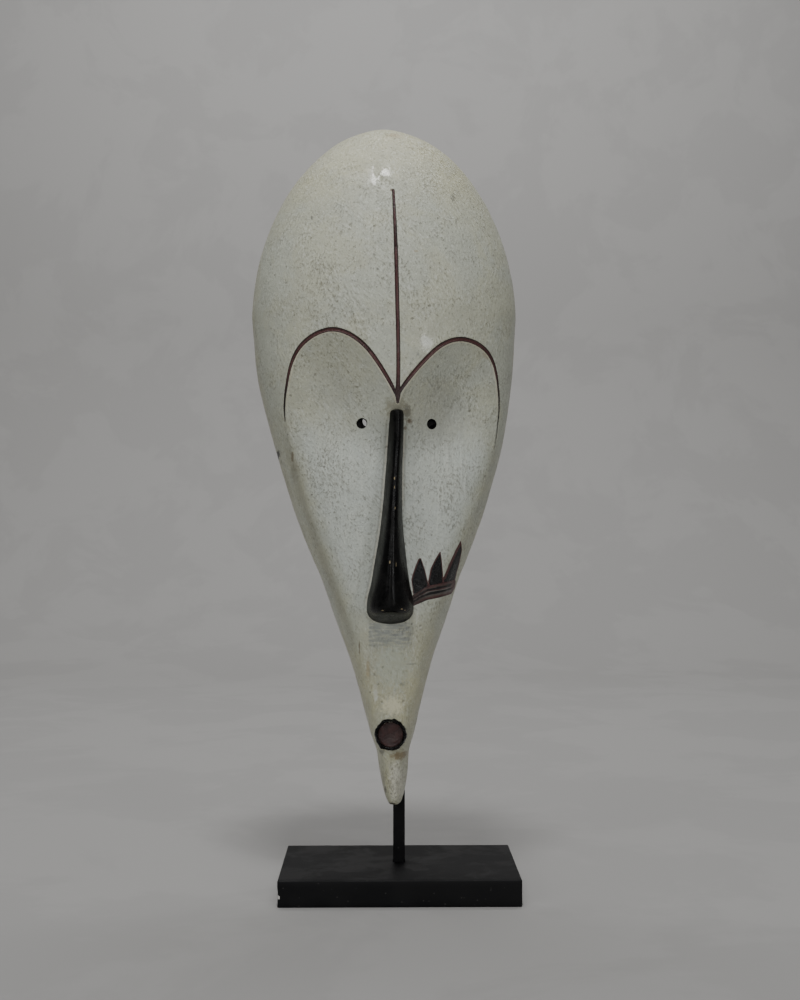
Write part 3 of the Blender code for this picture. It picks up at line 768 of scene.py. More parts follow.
mouth_depth = front_depth(np.array([0.0]), np.array([MOUTH_LEVEL]))[0]
lip_lacquer = bpy.data.materials.new("lip lacquer")
mouth_stain = bpy.data.materials.new("mouth stain")
charred = bpy.data.materials.new("charred eye")
lip = bmesh.new()
section = [lip.verts.new((away, 0, height)) for away, height in through(LIP_SECTION, 3)]
edges = [lip.edges.new(pair) for pair in zip(section, section[1:])]
bmesh.ops.spin(lip, geom=section + edges, cent=(0, 0, 0), axis=(0, 0, 1), angle=2 * math.pi,
               steps=110, use_merge=True)
bmesh.ops.remove_doubles(lip, verts=lip.verts[:], dist=1e-6)
bmesh.ops.recalc_face_normals(lip, faces=lip.faces[:])
for vert in lip.verts:
    away = Vector((vert.co.x, vert.co.y, 0))
    if away.length < 0.0095 or vert.co.z < -0.012:
        continue
    off = (math.atan2(away.y, away.x) - DRIP_ANGLE + math.pi) % (2 * math.pi) - math.pi
    step = LIP_RAGGED * noise.noise(vert.co * 260) + LIP_ROUGH * noise.noise(vert.co * 900)
    step += LIP_DRIP * math.exp(-((off / 0.26) ** 2)) * (away.length > 0.0115)
    vert.co += away.normalized() * step
    vert.co.z += 0.00045 * noise.noise(vert.co * 330 + Vector((5, 1, 2))) * (vert.co.z > 0.001)
mouth = facing(mouth_depth, MOUTH_X, MOUTH_LEVEL)
lip.transform(mouth)
lip = piece_from("lip", lip, [lip_lacquer])
dish = drill("dish", DISH_RADIUS, DISH_FLOOR, 0.0078, mouth, 72, mouth_stain, ease=0.0012)
cutters = [(nose, "UNION"), (lip, "UNION"), (dish, "DIFFERENCE"), (hollow, "DIFFERENCE")]
for side, (across, level, *lean) in EYES.items():
    x = across * HALF_WIDTH
    depth = front_depth(np.array([x]), np.array([level]))[0]
    cutters += [(drill("eye_" + side, EYE_RADIUS, -EYE_STRAIGHT, EYE_START, facing(depth, x, level),
                       48, charred), "DIFFERENCE"),
                (drill("eye_back_" + side, EYE_RADIUS, -EYE_REACH, -0.9 * EYE_STRAIGHT,
                       facing(depth, x, level, lean), 48, charred), "DIFFERENCE")]
rim = BAR_SETBACK + RIM_BEHIND_BAR
chin = BAR_SETBACK - BAR_SIDE / 2 - HOLE_GAP
CHIN_BACK = 0.100
RIM_START = 0.150
under, over, behind = MASK_FOOT - 0.03, mask_high.z + 0.05, rim + 0.25
profile = [(chin, under), (chin, MASK_FOOT + CHIN_BACK), (rim, MASK_FOOT + RIM_START), (rim, over),
           (behind, over), (behind, under)]
back = bmesh.new()
face = back.faces.new([back.verts.new((-0.2, y, z)) for y, z in profile])
moved = [g for g in bmesh.ops.extrude_face_region(back, geom=[face])["geom"]
         if isinstance(g, bmesh.types.BMVert)]
bmesh.ops.translate(back, verts=moved, vec=(0.4, 0, 0))
bmesh.ops.recalc_face_normals(back, faces=back.faces[:])
cutters.append((piece_from("mask_back", back, [wood]), "DIFFERENCE"))
hole = bmesh.new()
bmesh.ops.create_cube(hole, size=1)
side = BAR_SIDE + 2 * HOLE_GAP
low, high = MASK_FOOT + CHIN_BACK + 0.0006, bar_high.z + HOLE_GAP
bmesh.ops.scale(hole, vec=(side, side, high - low), verts=hole.verts[:])
bmesh.ops.translate(hole, vec=(0, BAR_SETBACK, (low + high) / 2), verts=hole.verts[:])
cutters.append((piece_from("bar_hole", hole, [wood]), "DIFFERENCE"))
cut_with(mask, cutters)
mask.data.shade_smooth()
mask.data.set_sharp_from_angle(angle=math.radians(38))
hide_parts("mask")
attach(mask, "root")


# Paint of the mask
# White clay paint over the wood, yellowed and worn, with dirt in its grain. The lines and teeth
# are painted dark brown and black in their cuts. The hollow and the rim are bare wood.

places = np.empty(3 * len(mask.data.vertices))
mask.data.vertices.foreach_get("co", places)
places = places.reshape(-1, 3)
across, forward, share = to_mask(places)
marks = read_marks(across, share, forward)
levels = np.linspace(NOSE_FOOT, NOSE_TOP, 60)
nose_sides = HALF_WIDTH * nose_width(levels)
nose_shape = np.vstack([on_sheet(nose_sides, levels), on_sheet(-nose_sides, levels)[::-1]])
marks["nose"] = -inside(on_sheet(across, share), nose_shape)
marks["forward"] = forward
for name, values in marks.items():
    store = mask.data.attributes.new(name, "FLOAT", "POINT")
    unit = 1 if name in ("line_level", "stripe") else 1000
    store.data.foreach_set("value", np.clip(values * unit, -60, 60).astype(np.float32))
store = mask.data.attributes.new("sheet", "FLOAT_VECTOR", "POINT")
store.data.foreach_set("vector", np.column_stack([1000 * across, 1000 * share * MASK_HEIGHT,
                                                  0 * share]).astype(np.float32).ravel())


def mark(tree, name):
    return add(tree, "Attribute", attribute_name=name).outputs["Fac"]


def painted(material):
    """The tree, shader, own place and flat place of one of the mask's finishes."""
    material.use_nodes = True
    tree = material.node_tree
    place = add(tree, "TexCoord").outputs["Object"]
    flat = add(tree, "Attribute", attribute_name="sheet").outputs["Vector"]
    return tree, tree.nodes["Principled BSDF"], place, flat


def leaned(tree, place, degrees):
    """The place turned about Y, so that marks drawn out along Z lean to one side."""
    return add(tree, "VectorRotate", {"Vector": place, "Angle": math.radians(degrees)},
               rotation_type="Y_AXIS").outputs[0]


def all_of(tree, *masks):
    made = masks[0]
    for other in masks[1:]:
        made = calc(tree, "MULTIPLY", made, other)
    return made


def lay(tree, amount, mask, shade, colour):
    """The colour laid over the shade where the mask says, by an amount."""
    return blend_colour(tree, calc(tree, "MULTIPLY", mask, amount), shade, colour)


# Grain: dark flecks and pale ones between them, crowded in patches
grain, given, result = new_effect("Grain", {"Place": None, "Width": 0.002, "Length": 1.6, "Patch": 0.02,
                                            "Crowd": 0.0}, ["Dark", "Pale", "Height"])
flecks = use_effect(grain, brush_marks, {"Place": given["Place"], "Width": given["Width"],
                                         "Length": given["Length"]})["Marks"]
patch = add(grain, "TexNoise", {"Vector": given["Place"], "Detail": 3.0, "Roughness": 0.6,
                                "Scale": calc(grain, "DIVIDE", 1.0, given["Patch"])}).outputs["Fac"]
patch = calc(grain, "MULTIPLY", calc(grain, "SUBTRACT", patch, 0.5), 0.30)
crowded = calc(grain, "ADD", patch, calc(grain, "MULTIPLY", given["Crowd"], 0.05))
grain.links.new(spread(grain, calc(grain, "ADD", flecks, crowded), 0.575, 0.685), result["Dark"])
grain.links.new(spread(grain, calc(grain, "SUBTRACT", flecks, patch), 0.44, 0.33), result["Pale"])
grain.links.new(flecks, result["Height"])

# Stain: a ragged patch round a point of the flat sheet, in millimetres
stain, given, result = new_effect("Stain", {"Flat": None, "Centre": None, "Radius": 5.0,
                                            "Stretch": 1.0, "Ragged": 0.5}, ["Mask"])
off = add(stain, "VectorMath", {0: given["Flat"], 1: given["Centre"]}, operation="SUBTRACT").outputs[0]
parts = add(stain, "SeparateXYZ", {0: off}).outputs
tall = calc(stain, "DIVIDE", parts["Y"], given["Stretch"])
off = add(stain, "CombineXYZ", {0: parts["X"], 1: tall}).outputs[0]
gap = add(stain, "VectorMath", {0: off}, operation="LENGTH").outputs["Value"]
gap = calc(stain, "DIVIDE", gap, given["Radius"])
rough_edge = add(stain, "TexNoise", {"Vector": given["Flat"], "Scale": 0.35, "Detail": 5.0,
                                     "Roughness": 0.7}).outputs["Fac"]
rough_edge = calc(stain, "MULTIPLY", calc(stain, "SUBTRACT", rough_edge, 0.5), given["Ragged"])
gap = calc(stain, "ADD", gap, calc(stain, "MULTIPLY", rough_edge, 2.4))
stain.links.new(spread(stain, gap, 1.0, 0.35), result["Mask"])


def patch_at(tree, flat, across_share, up_share, radius, tallness, ragged):
    """A stain round a point, given as shares of the half width and of the height."""
    centre = (1000 * across_share * HALF_WIDTH, 1000 * up_share * MASK_HEIGHT, 0)
    return use_effect(tree, stain, {"Flat": flat, "Centre": centre, "Radius": radius,
                                    "Stretch": tallness, "Ragged": ragged})["Mask"]


# The clay paint's colours, from the freshest to the dirtiest, and those of the painted lines
tree, shader, place, flat = painted(clay)
CLAY = (0.585, 0.618, 0.535, 1)
CLAY_YELLOW = (0.620, 0.605, 0.405, 1)
CLAY_PALE = (0.74, 0.765, 0.690, 1)
# A cooler, paler clay: partly the paint's own tint, partly painted sheen on the cheeks
CLAY_COOL_SHEEN = (0.640, 0.690, 0.650, 1)
CLAY_GREY = (0.385, 0.395, 0.355, 1)
OLIVE = (0.30, 0.285, 0.205, 1)
DIRT = (0.165, 0.145, 0.100, 1)
BLACK = (0.0030, 0.0028, 0.0032, 1)
DARK_BROWN = (0.020, 0.0105, 0.0095, 1)
MAROON = (0.094, 0.036, 0.034, 1)
UNDER_NOSE = (-18.0, 19.0, 131.0, 151.0)
parts = add(tree, "SeparateXYZ", {0: flat}).outputs
aside = parts["X"]
height = calc(tree, "DIVIDE", parts["Y"], 1000 * MASK_HEIGHT)
in_face = mark(tree, "face")
broad = use_effect(tree, wear, {"Place": place, "Patch": 0.050, "Hardness": 0.15})["Wear"]
worn = use_effect(tree, wear, {"Place": place, "Patch": 0.013, "Hardness": 0.35})

# Places where the dirt is crowded, as (share of the half width, share of the height, radius, stretch)
CROWDS = [(-0.520, 0.735, 26, 1.5), (-0.480, 0.480, 22, 2.0), (0.460, 0.880, 9, 1.2),
          (0.040, 0.2525, 9, 0.5), (-0.380, 0.860, 12, 0.8), (0.420, 0.450, 15, 2.2),
          (0.300, 0.610, 10, 0.8), (0.030, 0.045, 10, 2.4)]
crowd = 0.0
for spot in CROWDS:
    crowd = calc(tree, "MAXIMUM", crowd, patch_at(tree, flat, *spot, 0.7))
flecks = use_effect(tree, grain, {"Place": place, "Width": 0.0016, "Length": 1.6, "Patch": 0.022,
                                  "Crowd": crowd})
strokes = use_effect(tree, grain, {"Place": leaned(tree, place, 38), "Width": 0.0015, "Length": 3.4,
                                   "Patch": 0.030, "Crowd": crowd})
counter = use_effect(tree, grain, {"Place": leaned(tree, place, -27), "Width": 0.0014, "Length": 3.0,
                                   "Patch": 0.026, "Crowd": crowd})
upright = use_effect(tree, grain, {"Place": place, "Width": 0.0018, "Length": 14.0, "Patch": 0.05,
                                   "Crowd": 0.0})
crown = spread(tree, height, 0.80, 0.97)
low_face = spread(tree, height, 0.36, 0.16)
# The block's sides where they turn back: a yellower tint, and painted shade where they turn away from
# the light
sides = spread(tree, mark(tree, "forward"), 78.0, 40.0)
yellow = calc(tree, "MAXIMUM", crown, calc(tree, "MULTIPLY", low_face, 0.85))
yellow = calc(tree, "MAXIMUM", yellow, calc(tree, "MULTIPLY", sides, 0.6))
yellow = calc(tree, "ADD", yellow, calc(tree, "MULTIPLY", calc(tree, "SUBTRACT", broad, 0.5), 0.30))
shade = blend_colour(tree, yellow, CLAY, CLAY_YELLOW)
# Painted shade: olive laid over the block's sides
shade = lay(tree, 0.30, sides, shade, OLIVE)
shade = lay(tree, 0.20, worn["Wear"], shade, CLAY_GREY)
shade = lay(tree, 0.45, flecks["Pale"], shade, CLAY_PALE)
shade = lay(tree, 0.40, strokes["Pale"], shade, CLAY_PALE)
cheeks = all_of(tree, spread(tree, in_face, 1.0, 12.0), spread(tree, height, 0.57, 0.49))
# Painted sheen with a cooler tint: the cheeks are paled and cooled
cheek_tint_and_sheen = all_of(tree, spread(tree, in_face, 1.0, 16.0), spread(tree, height, 0.25, 0.34))
shade = lay(tree, 0.65, all_of(tree, cheek_tint_and_sheen, spread(tree, height, 0.58, 0.50)), shade, CLAY_COOL_SHEEN)
shade = lay(tree, 0.50, all_of(tree, upright["Pale"], cheeks), shade, CLAY_PALE)
shade = lay(tree, 0.30, all_of(tree, upright["Dark"], cheeks), shade, CLAY_GREY)
chin_face = patch_at(tree, flat, 0.035, 0.0350, 9.0, 2.6, 0.9)
shade = lay(tree, 0.75, chin_face, shade, (0.80, 0.790, 0.680, 1))
off_jaw = calc(tree, "ABSOLUTE", calc(tree, "SUBTRACT", height, 0.18), 0.0)
smoother = spread(tree, off_jaw, 0.045, 0.085, 0.45, 1.0)
for mottle, strength in ((flecks, 0.42), (strokes, 0.34), (counter, 0.30)):
    shade = lay(tree, strength, all_of(tree, mottle["Dark"], smoother), shade, DIRT)
pores = use_effect(tree, specks, {"Place": place, "Size": 0.0034, "Share": 0.018})["Spots"]
shade = lay(tree, 0.45, pores, shade, (0.13, 0.115, 0.088, 1))

# Stains as (share of the half width, share of the height, radius, stretch, strength, colour); some
# entries carry painted light and shade, as marked
PITCH = (0.016, 0.014, 0.013, 1)
SOOT = (0.085, 0.082, 0.074, 1)
UMBER = (0.070, 0.055, 0.035, 1)
DEEP_BROWN = (0.050, 0.040, 0.030, 1)
BROWN = (0.150, 0.100, 0.052, 1)
TAN = (0.270, 0.205, 0.105, 1)
OCHRE = (0.400, 0.300, 0.160, 1)
SAGE = (0.530, 0.590, 0.505, 1)
CREAM = (0.820, 0.790, 0.565, 1)
STAINS = [
    (-0.729, 0.5057, 1.5, 4.0, 0.80, BROWN), (-0.716, 0.4870, 3.8, 3.0, 0.35, OLIVE),
    (-0.838, 0.5110, 2.2, 2.2, 0.95, PITCH), (-0.123, 0.7632, 1.5, 1.0, 0.60, SOOT),
    (0.151, 0.7906, 2.6, 0.5, 0.45, OCHRE), (-0.089, 0.8010, 6.5, 0.11, 0.40, SOOT),
    (0.089, 0.8920, 1.6, 1.0, 0.50, SOOT), (-0.573, 0.8436, 1.5, 1.6, 0.65, SOOT),
    (0.447, 0.8776, 2.6, 1.6, 0.40, SOOT), (-0.012, 0.8815, 2.0, 0.8, 0.80, BROWN),
    (0.072, 0.5670, 5.0, 1.4, 0.80, SOOT), (0.092, 0.5540, 3.0, 1.0, 0.85, BROWN),
    (0.064, 0.5443, 1.7, 1.4, 0.65, BROWN), (0.094, 0.5330, 1.2, 1.0, 0.40, BROWN),
    # Partly dirt, partly painted shade: the olive round the nose root; painted highlight: the pale
    # upright streak left of the muzzle
    (0.000, 0.5720, 13.0, 0.9, 0.70, OLIVE), (-0.100, 0.1650, 2.6, 3.6, 0.55, CLAY_PALE),
    # The cream over the mouth: partly the paint's colour, partly painted light on the bulge that faces
    # up
    (0.018, 0.1500, 11.5, 0.85, 0.90, CREAM), (-0.159, 0.2000, 2.0, 6.0, 0.50, OCHRE),
    (-0.146, 0.1950, 1.0, 9.0, 0.45, OLIVE), (-0.2226, 0.2312, 0.9, 8.0, 0.65, BROWN),
    (0.152, 0.2078, 6.5, 0.12, 0.50, SOOT), (0.088, 0.1797, 2.6, 1.0, 0.45, SOOT),
    (0.060, 0.0735, 9.5, 0.50, 0.85, TAN), (-0.069, 0.0786, 3.0, 1.0, 0.55, SOOT),
    (-0.073, 0.0352, 2.4, 4.5, 0.45, OLIVE), (-0.057, 0.0214, 1.4, 3.0, 0.75, UMBER),
    # The deep brown at the chin's very foot darkens its lower edge
    (-0.015, 0.0010, 4.0, 0.55, 0.85, DEEP_BROWN), (0.050, 0.9790, 8.0, 0.50, 0.50, OCHRE),
    # Painted sheen: the pale patch over the right brow
    (0.2246, 0.6628, 7.0, 0.9, 0.55, CLAY_PALE), (0.690, 0.6520, 5.5, 0.8, 0.40, OCHRE),
    (0.090, 0.5640, 5.0, 1.5, 0.40, OLIVE), (0.160, 0.6450, 1.8, 0.9, 0.45, SOOT),
    # Painted shade: the two broad grey patches in the lobes under the brow
    (0.330, 0.5650, 30.0, 1.3, 0.42, CLAY_GREY), (-0.430, 0.6000, 24.0, 0.9, 0.24, CLAY_GREY),
    (0.020, 0.2050, 20.0, 1.3, 0.45, SAGE), (-0.330, 0.9300, 20.0, 0.7, 0.25, CLAY_YELLOW)]
for *spot, strength, colour in STAINS:
    shade = lay(tree, strength, patch_at(tree, flat, *spot, 0.9), shade, colour)

# A grey patch under the nose, streaked sideways, with a straight left edge
sideways_noise = add(tree, "Mapping", {"Vector": flat, "Scale": (0.12, 0.55, 1.0)}).outputs[0]
sideways_noise = add(tree, "TexNoise", {"Vector": sideways_noise, "Scale": 1.0, "Detail": 4.0}).outputs["Fac"]
ragged = calc(tree, "MULTIPLY", calc(tree, "SUBTRACT", sideways_noise, 0.5), 9.0)
reach_left = calc(tree, "ADD", aside, calc(tree, "MULTIPLY", ragged, 0.35))
reach_low = calc(tree, "ADD", parts["Y"], ragged)
grey_under_nose = all_of(tree, spread(tree, reach_left, UNDER_NOSE[0], UNDER_NOSE[0] + 1.8),
               spread(tree, calc(tree, "ADD", aside, ragged), UNDER_NOSE[1] + 4, UNDER_NOSE[1] - 5),
               spread(tree, reach_low, UNDER_NOSE[2] - 5, UNDER_NOSE[2] + 9),
               spread(tree, parts["Y"], UNDER_NOSE[3] + 3, UNDER_NOSE[3] - 1))
grey_under_nose = all_of(tree, grey_under_nose, spread(tree, sideways_noise, 0.38, 0.58, 0.30, 1.0))
shade = lay(tree, 0.66, grey_under_nose, shade, (0.262, 0.285, 0.292, 1))
dots = use_effect(tree, specks, {"Place": place, "Size": 0.0019, "Share": 0.30})["Spots"]
dotted = patch_at(tree, flat, 0.105, 0.2560, 8.0, 0.55, 0.8)
shade = lay(tree, 0.62, all_of(tree, dots, dotted), shade, SOOT)

# A pale painted highlight on the lip inside the brow, a pale paint edge beside the nose with a darker
# line outside it, and painted shade in the crease further down
jitter = calc(tree, "MULTIPLY", calc(tree, "SUBTRACT", worn["Fine"], 0.5), 0.9)
# Painted highlight: a pale line just inside the brow's crease, where its lip catches the light
rubbed = all_of(tree, spread(tree, in_face, 0.3, 0.7), spread(tree, in_face, 1.8, 1.1),
                spread(tree, height, 0.555, 0.60))
shade = lay(tree, 0.70, rubbed, shade, (0.70, 0.655, 0.50, 1))
by_nose = calc(tree, "ADD", mark(tree, "nose"), calc(tree, "MULTIPLY", jitter, 0.5))
beside = all_of(tree, spread(tree, by_nose, 0.1, 0.3), spread(tree, by_nose, 1.25, 0.95),
                spread(tree, height, 0.285, 0.30), spread(tree, height, 0.545, 0.53))
left_only = spread(tree, aside, 1.0, -1.0)
high_only = calc(tree, "MAXIMUM", left_only, spread(tree, height, 0.42, 0.45))
shade = lay(tree, 0.60, all_of(tree, beside, high_only), shade, (0.66, 0.62, 0.49, 1))
outer = all_of(tree, spread(tree, by_nose, 1.2, 1.5), spread(tree, by_nose, 3.2, 1.9),
               spread(tree, height, 0.285, 0.30), spread(tree, height, 0.560, 0.55))
shade = lay(tree, 0.30, all_of(tree, outer, high_only), shade, DIRT)
from_crease = calc(tree, "ABSOLUTE", calc(tree, "ADD", in_face, 1.0), 0.0)
# Painted shade: olive along the face's crease lower down, stronger on the left
crease_shade = all_of(tree, spread(tree, from_crease, 6.5, 0.5), spread(tree, height, 0.56, 0.50),
                 spread(tree, height, 0.20, 0.30))
shade = lay(tree, 0.42, all_of(tree, crease_shade, spread(tree, aside, 20.0, -20.0, 0.35, 1.0)), shade, OLIVE)

# The painted lines: nearly black at both edges, brown along the middle; the black edges are partly dark
# paint, partly painted shade on the walls of the cut
line_gap = calc(tree, "ADD", mark(tree, "line"), calc(tree, "MULTIPLY", jitter, 0.24))
in_line = spread(tree, line_gap, 0.14, -0.14)
thin_paint = calc(tree, "MULTIPLY", calc(tree, "SUBTRACT", worn["Wear"], 0.5), 0.16)
core = spread(tree, calc(tree, "ADD", mark(tree, "line_level"), thin_paint), 0.22, 0.46)
core = calc(tree, "MULTIPLY", core, spread(tree, height, 0.59, 0.625, 0.25, 1.0))
line_shade = blend_colour(tree, core, DARK_BROWN, MAROON)
shade = blend_colour(tree, in_line, shade, line_shade)

# The teeth are black with brown edges, broader on their left
tooth_gap = calc(tree, "ADD", mark(tree, "tooth"), calc(tree, "MULTIPLY", jitter, 0.25))
in_tooth = spread(tree, tooth_gap, 0.12, -0.12)
left_width = spread(tree, aside, 41.0, 47.0, 1.15, 2.3)
left_edge = calc(tree, "DIVIDE", calc(tree, "ADD", mark(tree, "tooth_left"), jitter), left_width)
tooth_core = all_of(tree, spread(tree, tooth_gap, -0.45, -0.85), spread(tree, left_edge, 0.8, 1.15))
tooth_shade = blend_colour(tree, tooth_core, MAROON, BLACK)
tooth_shade = lay(tree, 0.30, upright["Dark"], tooth_shade, (0.030, 0.029, 0.028, 1))
shade = blend_colour(tree, in_tooth, shade, tooth_shade)

# The band below them is striped from top to bottom and ends in a brown knob
band_gap = calc(tree, "ADD", mark(tree, "band"), calc(tree, "MULTIPLY", jitter, 0.25))
in_band = spread(tree, band_gap, 0.12, -0.12)
waver = calc(tree, "MULTIPLY", calc(tree, "SUBTRACT", sideways_noise, 0.5), 0.25)
STRIPES = [(0.0, DARK_BROWN), (0.07, MAROON), (0.20, (0.105, 0.070, 0.060, 1)), (0.27, BLACK),
           (0.34, BLACK), (0.40, MAROON), (0.47, (0.215, 0.200, 0.180, 1)), (0.53, BLACK),
           (0.63, BLACK), (0.70, (0.130, 0.115, 0.100, 1)), (0.80, (0.120, 0.085, 0.072, 1)),
           (0.90, MAROON), (1.0, DARK_BROWN)]
ramp = add(tree, "ValToRGB", {"Fac": calc(tree, "ADD", mark(tree, "stripe"), waver)})
ramp.color_ramp.elements[0].color = STRIPES[0][1]
ramp.color_ramp.elements[1].color = STRIPES[-1][1]
for place_down, colour in STRIPES[1:-1]:
    ramp.color_ramp.elements.new(place_down).color = colour
band_shade = lay(tree, 0.55, spread(tree, aside, 34.0, 22.0), ramp.outputs["Color"], DARK_BROWN)
band_shade = lay(tree, 0.90, spread(tree, aside, 50.2, 51.4), band_shade, MAROON)
shade = blend_colour(tree, in_band, shade, band_shade)
tree.links.new(shade, shader.inputs["Base Color"])

rough = spread(tree, worn["Wear"], 0.0, 1.0, 0.29, 0.42)
rough = calc(tree, "ADD", rough, calc(tree, "MULTIPLY", flecks["Dark"], 0.20))
rough = calc(tree, "SUBTRACT", rough, calc(tree, "MULTIPLY", in_tooth, 0.12))
tree.links.new(rough, shader.inputs["Roughness"])
surface = calc(tree, "ADD", flecks["Height"], calc(tree, "MULTIPLY", strokes["Height"], 0.7))
surface = calc(tree, "SUBTRACT", surface, calc(tree, "MULTIPLY", flecks["Dark"], 0.5))
surface = calc(tree, "SUBTRACT", surface, calc(tree, "MULTIPLY", pores, 0.8))
surface = calc(tree, "ADD", surface, calc(tree, "MULTIPLY", worn["Fine"], 0.35))
bump = add(tree, "Bump", {"Height": surface, "Strength": 0.85, "Distance": 0.0007})
tree.links.new(bump.outputs[0], shader.inputs["Normal"])

# Two places are polished by handling, on the crown and over the right brow
handled = calc(tree, "MAXIMUM", patch_at(tree, flat, -0.06, 0.900, 30, 1.0, 0.5),
               patch_at(tree, flat, 0.14, 0.655, 26, 1.0, 0.5))
polish = all_of(tree, spread(tree, worn["Wear"], 0.65, 0.30), handled)
tree.links.new(calc(tree, "MULTIPLY", polish, 0.38), shader.inputs["Coat Weight"])
shader.inputs["Coat Roughness"].default_value = 0.17
shader.inputs["Specular IOR Level"].default_value = 0.42


def lacquered(material, chips, gloss, texture, flank):
    """Black lacquer with small chips down to the clay paint; gloss is its least roughness."""
    tree, shader, place, flat = painted(material)
    worn = use_effect(tree, wear, {"Place": place, "Patch": 0.010, "Hardness": 0.3})
    drawn = use_effect(tree, brush_marks, {"Place": place, "Width": 0.0013, "Length": 14.0})["Marks"]
    shade = blend_colour(tree, worn["Wear"], (0.0026, 0.0026, 0.0027, 1), (0.0075, 0.0072, 0.0070, 1))
    bare = 0.0
    for spot in chips:
        bare = calc(tree, "MAXIMUM", bare, patch_at(tree, flat, *spot, 1.0))
    bare = spread(tree, bare, 0.35, 0.65)
    shade = blend_colour(tree, bare, shade, (0.30, 0.24, 0.14, 1))
    tree.links.new(shade, shader.inputs["Base Color"])
    rough = calc(tree, "ADD", spread(tree, worn["Wear"], 0.0, 1.0, gloss, gloss + 0.12),
                 calc(tree, "MULTIPLY", bare, 0.35))
    rough = calc(tree, "ADD", rough, spread(tree, mark(tree, "nose"), -4.5, -0.5, 0.0, flank))
    tree.links.new(rough, shader.inputs["Roughness"])
    shader.inputs["IOR"].default_value = 1.22
    height = calc(tree, "ADD", drawn, calc(tree, "MULTIPLY", worn["Fine"], texture))
    height = calc(tree, "SUBTRACT", height, calc(tree, "MULTIPLY", bare, 1.5))
    bump = add(tree, "Bump", {"Height": height, "Strength": 0.35, "Distance": 0.0003})
    tree.links.new(bump.outputs[0], shader.inputs["Normal"])


# Chips as (share of the half width, share of the height, radius, stretch)
NOSE_CHIPS = [(-0.005, 0.4726, 0.75, 1.8), (-0.0015, 0.4600, 0.35, 5.0), (0.009, 0.4308, 0.35, 4.5),
              (-0.0107, 0.3560, 0.70, 3.6), (0.034, 0.3520, 0.30, 9.0), (-0.050, 0.2890, 1.6, 0.4),
              (0.084, 0.2907, 1.4, 0.5), (0.105, 0.2885, 0.7, 0.7)]
LIP_CHIPS = [(-0.022, 0.0842, 1.5, 0.8), (0.078, 0.0850, 0.7, 0.7)]
lacquered(lacquer, NOSE_CHIPS, gloss=0.16, texture=0.3, flank=0.20)
lacquered(lip_lacquer, LIP_CHIPS, gloss=0.08, texture=1.6, flank=0.0)

# The dish of the mouth: brown stain worn thin, with a grey bloom in its middle
tree, shader, place, flat = painted(mouth_stain)
worn = use_effect(tree, wear, {"Place": place, "Patch": 0.006, "Hardness": 0.4})
shade = blend_colour(tree, worn["Wear"], (0.030, 0.0110, 0.0100, 1), (0.066, 0.025, 0.022, 1))
middle = patch_at(tree, flat, 0.012, 0.1030, 6.5, 0.8, 1.0)
shade = lay(tree, 0.40, middle, shade, (0.082, 0.058, 0.054, 1))
shade = lay(tree, 0.80, spread(tree, worn["Fine"], 0.60, 0.75), shade, (0.010, 0.007, 0.007, 1))
tree.links.new(shade, shader.inputs["Base Color"])
tree.links.new(spread(tree, worn["Fine"], 0.3, 0.7, 0.38, 0.55), shader.inputs["Roughness"])
bump = add(tree, "Bump", {"Height": worn["Wear"], "Strength": 0.5, "Distance": 0.0006})
tree.links.new(bump.outputs[0], shader.inputs["Normal"])

# Charred wood in the eye holes
tree, shader, place, flat = painted(charred)
worn = use_effect(tree, wear, {"Place": place, "Patch": 0.004, "Hardness": 0.3})
shade = blend_colour(tree, worn["Wear"], (0.0030, 0.0026, 0.0024, 1), (0.0110, 0.0085, 0.0070, 1))
tree.links.new(shade, shader.inputs["Base Color"])
tree.links.new(spread(tree, worn["Fine"], 0.3, 0.7, 0.70, 0.90), shader.inputs["Roughness"])

# Bare wood: upright grain, darkened by handling, with tool marks
tree, shader, place, flat = painted(wood)
year_rings = use_effect(tree, brush_marks, {"Place": place, "Width": 0.0016, "Length": 14.0})["Marks"]
fine_grain = use_effect(tree, brush_marks, {"Place": place, "Width": 0.0005, "Length": 20.0})["Marks"]
worn = use_effect(tree, wear, {"Place": place, "Patch": 0.05, "Hardness": 0.2})
shade = blend_colour(tree, spread(tree, year_rings, 0.35, 0.65), (0.225, 0.140, 0.078, 1),
                     (0.115, 0.066, 0.036, 1))
shade = lay(tree, 0.50, spread(tree, fine_grain, 0.55, 0.72), shade, (0.055, 0.032, 0.019, 1))
shade = lay(tree, 0.45, worn["Wear"], shade, (0.075, 0.052, 0.035, 1))
tree.links.new(shade, shader.inputs["Base Color"])
tree.links.new(spread(tree, year_rings, 0.3, 0.7, 0.62, 0.80), shader.inputs["Roughness"])
bump = add(tree, "Bump", {"Height": calc(tree, "ADD", year_rings, fine_grain), "Strength": 0.5,
                          "Distance": 0.0005})
tree.links.new(bump.outputs[0], shader.inputs["Normal"])


# Floor, light and camera
# A sweep of pale paper that bends up far behind the object, three soft lights in front, one above,
# one for the paper, and the photograph's own view.

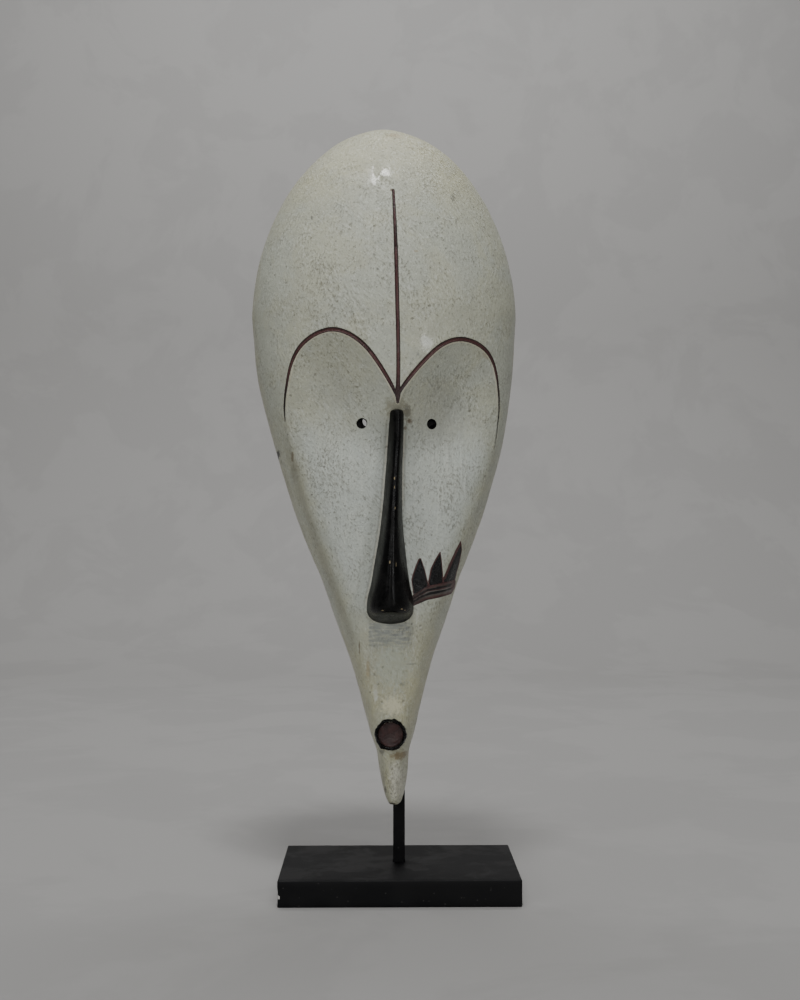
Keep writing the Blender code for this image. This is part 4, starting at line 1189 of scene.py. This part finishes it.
PAPER_BEND = 0.9
PAPER_SIDE = 4.0
PAPER_FRONT = -3.2
PAPER_BACK = 1.6
PAPER_RISE = 2.2
LIGHT_AIM = (0, 0, 0.35)
PHOTO_LENS = 46.49
PHOTO_PLACE = (-0.0135, -1.120, 0.3057)
PHOTO_UP = 1.4346
PHOTO_RIGHT = 0.734
bm = bmesh.new()
ends = [bm.verts.new((side, PAPER_FRONT, 0)) for side in (PAPER_SIDE, -PAPER_SIDE)]
front_edge = bm.edges.new(ends)
made = bmesh.ops.extrude_edge_only(bm, edges=[front_edge])["geom"]
bmesh.ops.translate(bm, verts=[g for g in made if isinstance(g, bmesh.types.BMVert)],
                    vec=(0, PAPER_BACK - PAPER_FRONT, 0))
edge = [g for g in made if isinstance(g, bmesh.types.BMEdge)]
made = bmesh.ops.spin(bm, geom=edge, cent=(0, PAPER_BACK, PAPER_BEND), axis=(1, 0, 0), steps=16,
                      angle=math.radians(90))["geom_last"]
made = bmesh.ops.extrude_edge_only(bm, edges=[g for g in made if isinstance(g, bmesh.types.BMEdge)])
bmesh.ops.translate(bm, verts=[g for g in made["geom"] if isinstance(g, bmesh.types.BMVert)],
                    vec=(0, 0, PAPER_RISE))
bmesh.ops.remove_doubles(bm, verts=bm.verts[:], dist=1e-5)
bmesh.ops.recalc_face_normals(bm, faces=bm.faces[:])
paper, tree, shader, place = new_finish("pale paper")
mottle = use_effect(tree, wear, {"Place": place, "Patch": 0.25, "Hardness": 0.1})
shade = blend_colour(tree, mottle["Wear"], (0.362, 0.356, 0.348, 1), (0.382, 0.376, 0.367, 1))
tree.links.new(shade, shader.inputs["Base Color"])
tree.links.new(spread(tree, mottle["Fine"], 0.0, 1.0, 0.75, 0.9), shader.inputs["Roughness"])
floor = piece_from("paper_sweep", bm, [paper])
floor.data.shade_smooth()


def soft_light(name, place, aim, size, power):
    made = bpy.data.objects.new(name, bpy.data.lights.new(name, "AREA"))
    made.data.shape = "RECTANGLE"
    made.data.size, made.data.size_y = size
    made.data.energy = power
    made.location = place
    made.rotation_euler = (Vector(aim) - Vector(place)).to_track_quat("-Z", "Y").to_euler()
    bpy.context.scene.collection.objects.link(made)


soft_light("soft_top", (-0.02, -0.80, 2.25), LIGHT_AIM, (0.34, 0.30), 20)
soft_light("soft_front", (-0.30, -2.30, 0.85), LIGHT_AIM, (0.50, 0.50), 6.5)
soft_light("soft_left", (-1.35, -1.60, 1.00), LIGHT_AIM, (0.80, 0.80), 5.5)
soft_light("soft_right", (1.25, -1.93, 0.60), LIGHT_AIM, (0.36, 0.50), 5.5)
soft_light("paper_light", (0, 0.75, 2.5), (0, 2.5, 0.55), (2.4, 0.5), 42)
world = bpy.data.worlds.new("studio")
world.use_nodes = True
world.node_tree.nodes["Background"].inputs["Color"].default_value = (0.50, 0.50, 0.50, 1)
world.node_tree.nodes["Background"].inputs["Strength"].default_value = 0.28
bpy.context.scene.world = world

camera = bpy.data.objects.new("camera", bpy.data.cameras.new("camera"))
camera.data.lens = PHOTO_LENS
camera.data.sensor_width = 36
camera.location = PHOTO_PLACE
camera.rotation_euler = (math.radians(90 + PHOTO_UP), 0, math.radians(-PHOTO_RIGHT))
bpy.context.scene.collection.objects.link(camera)
bpy.context.scene.camera = camera
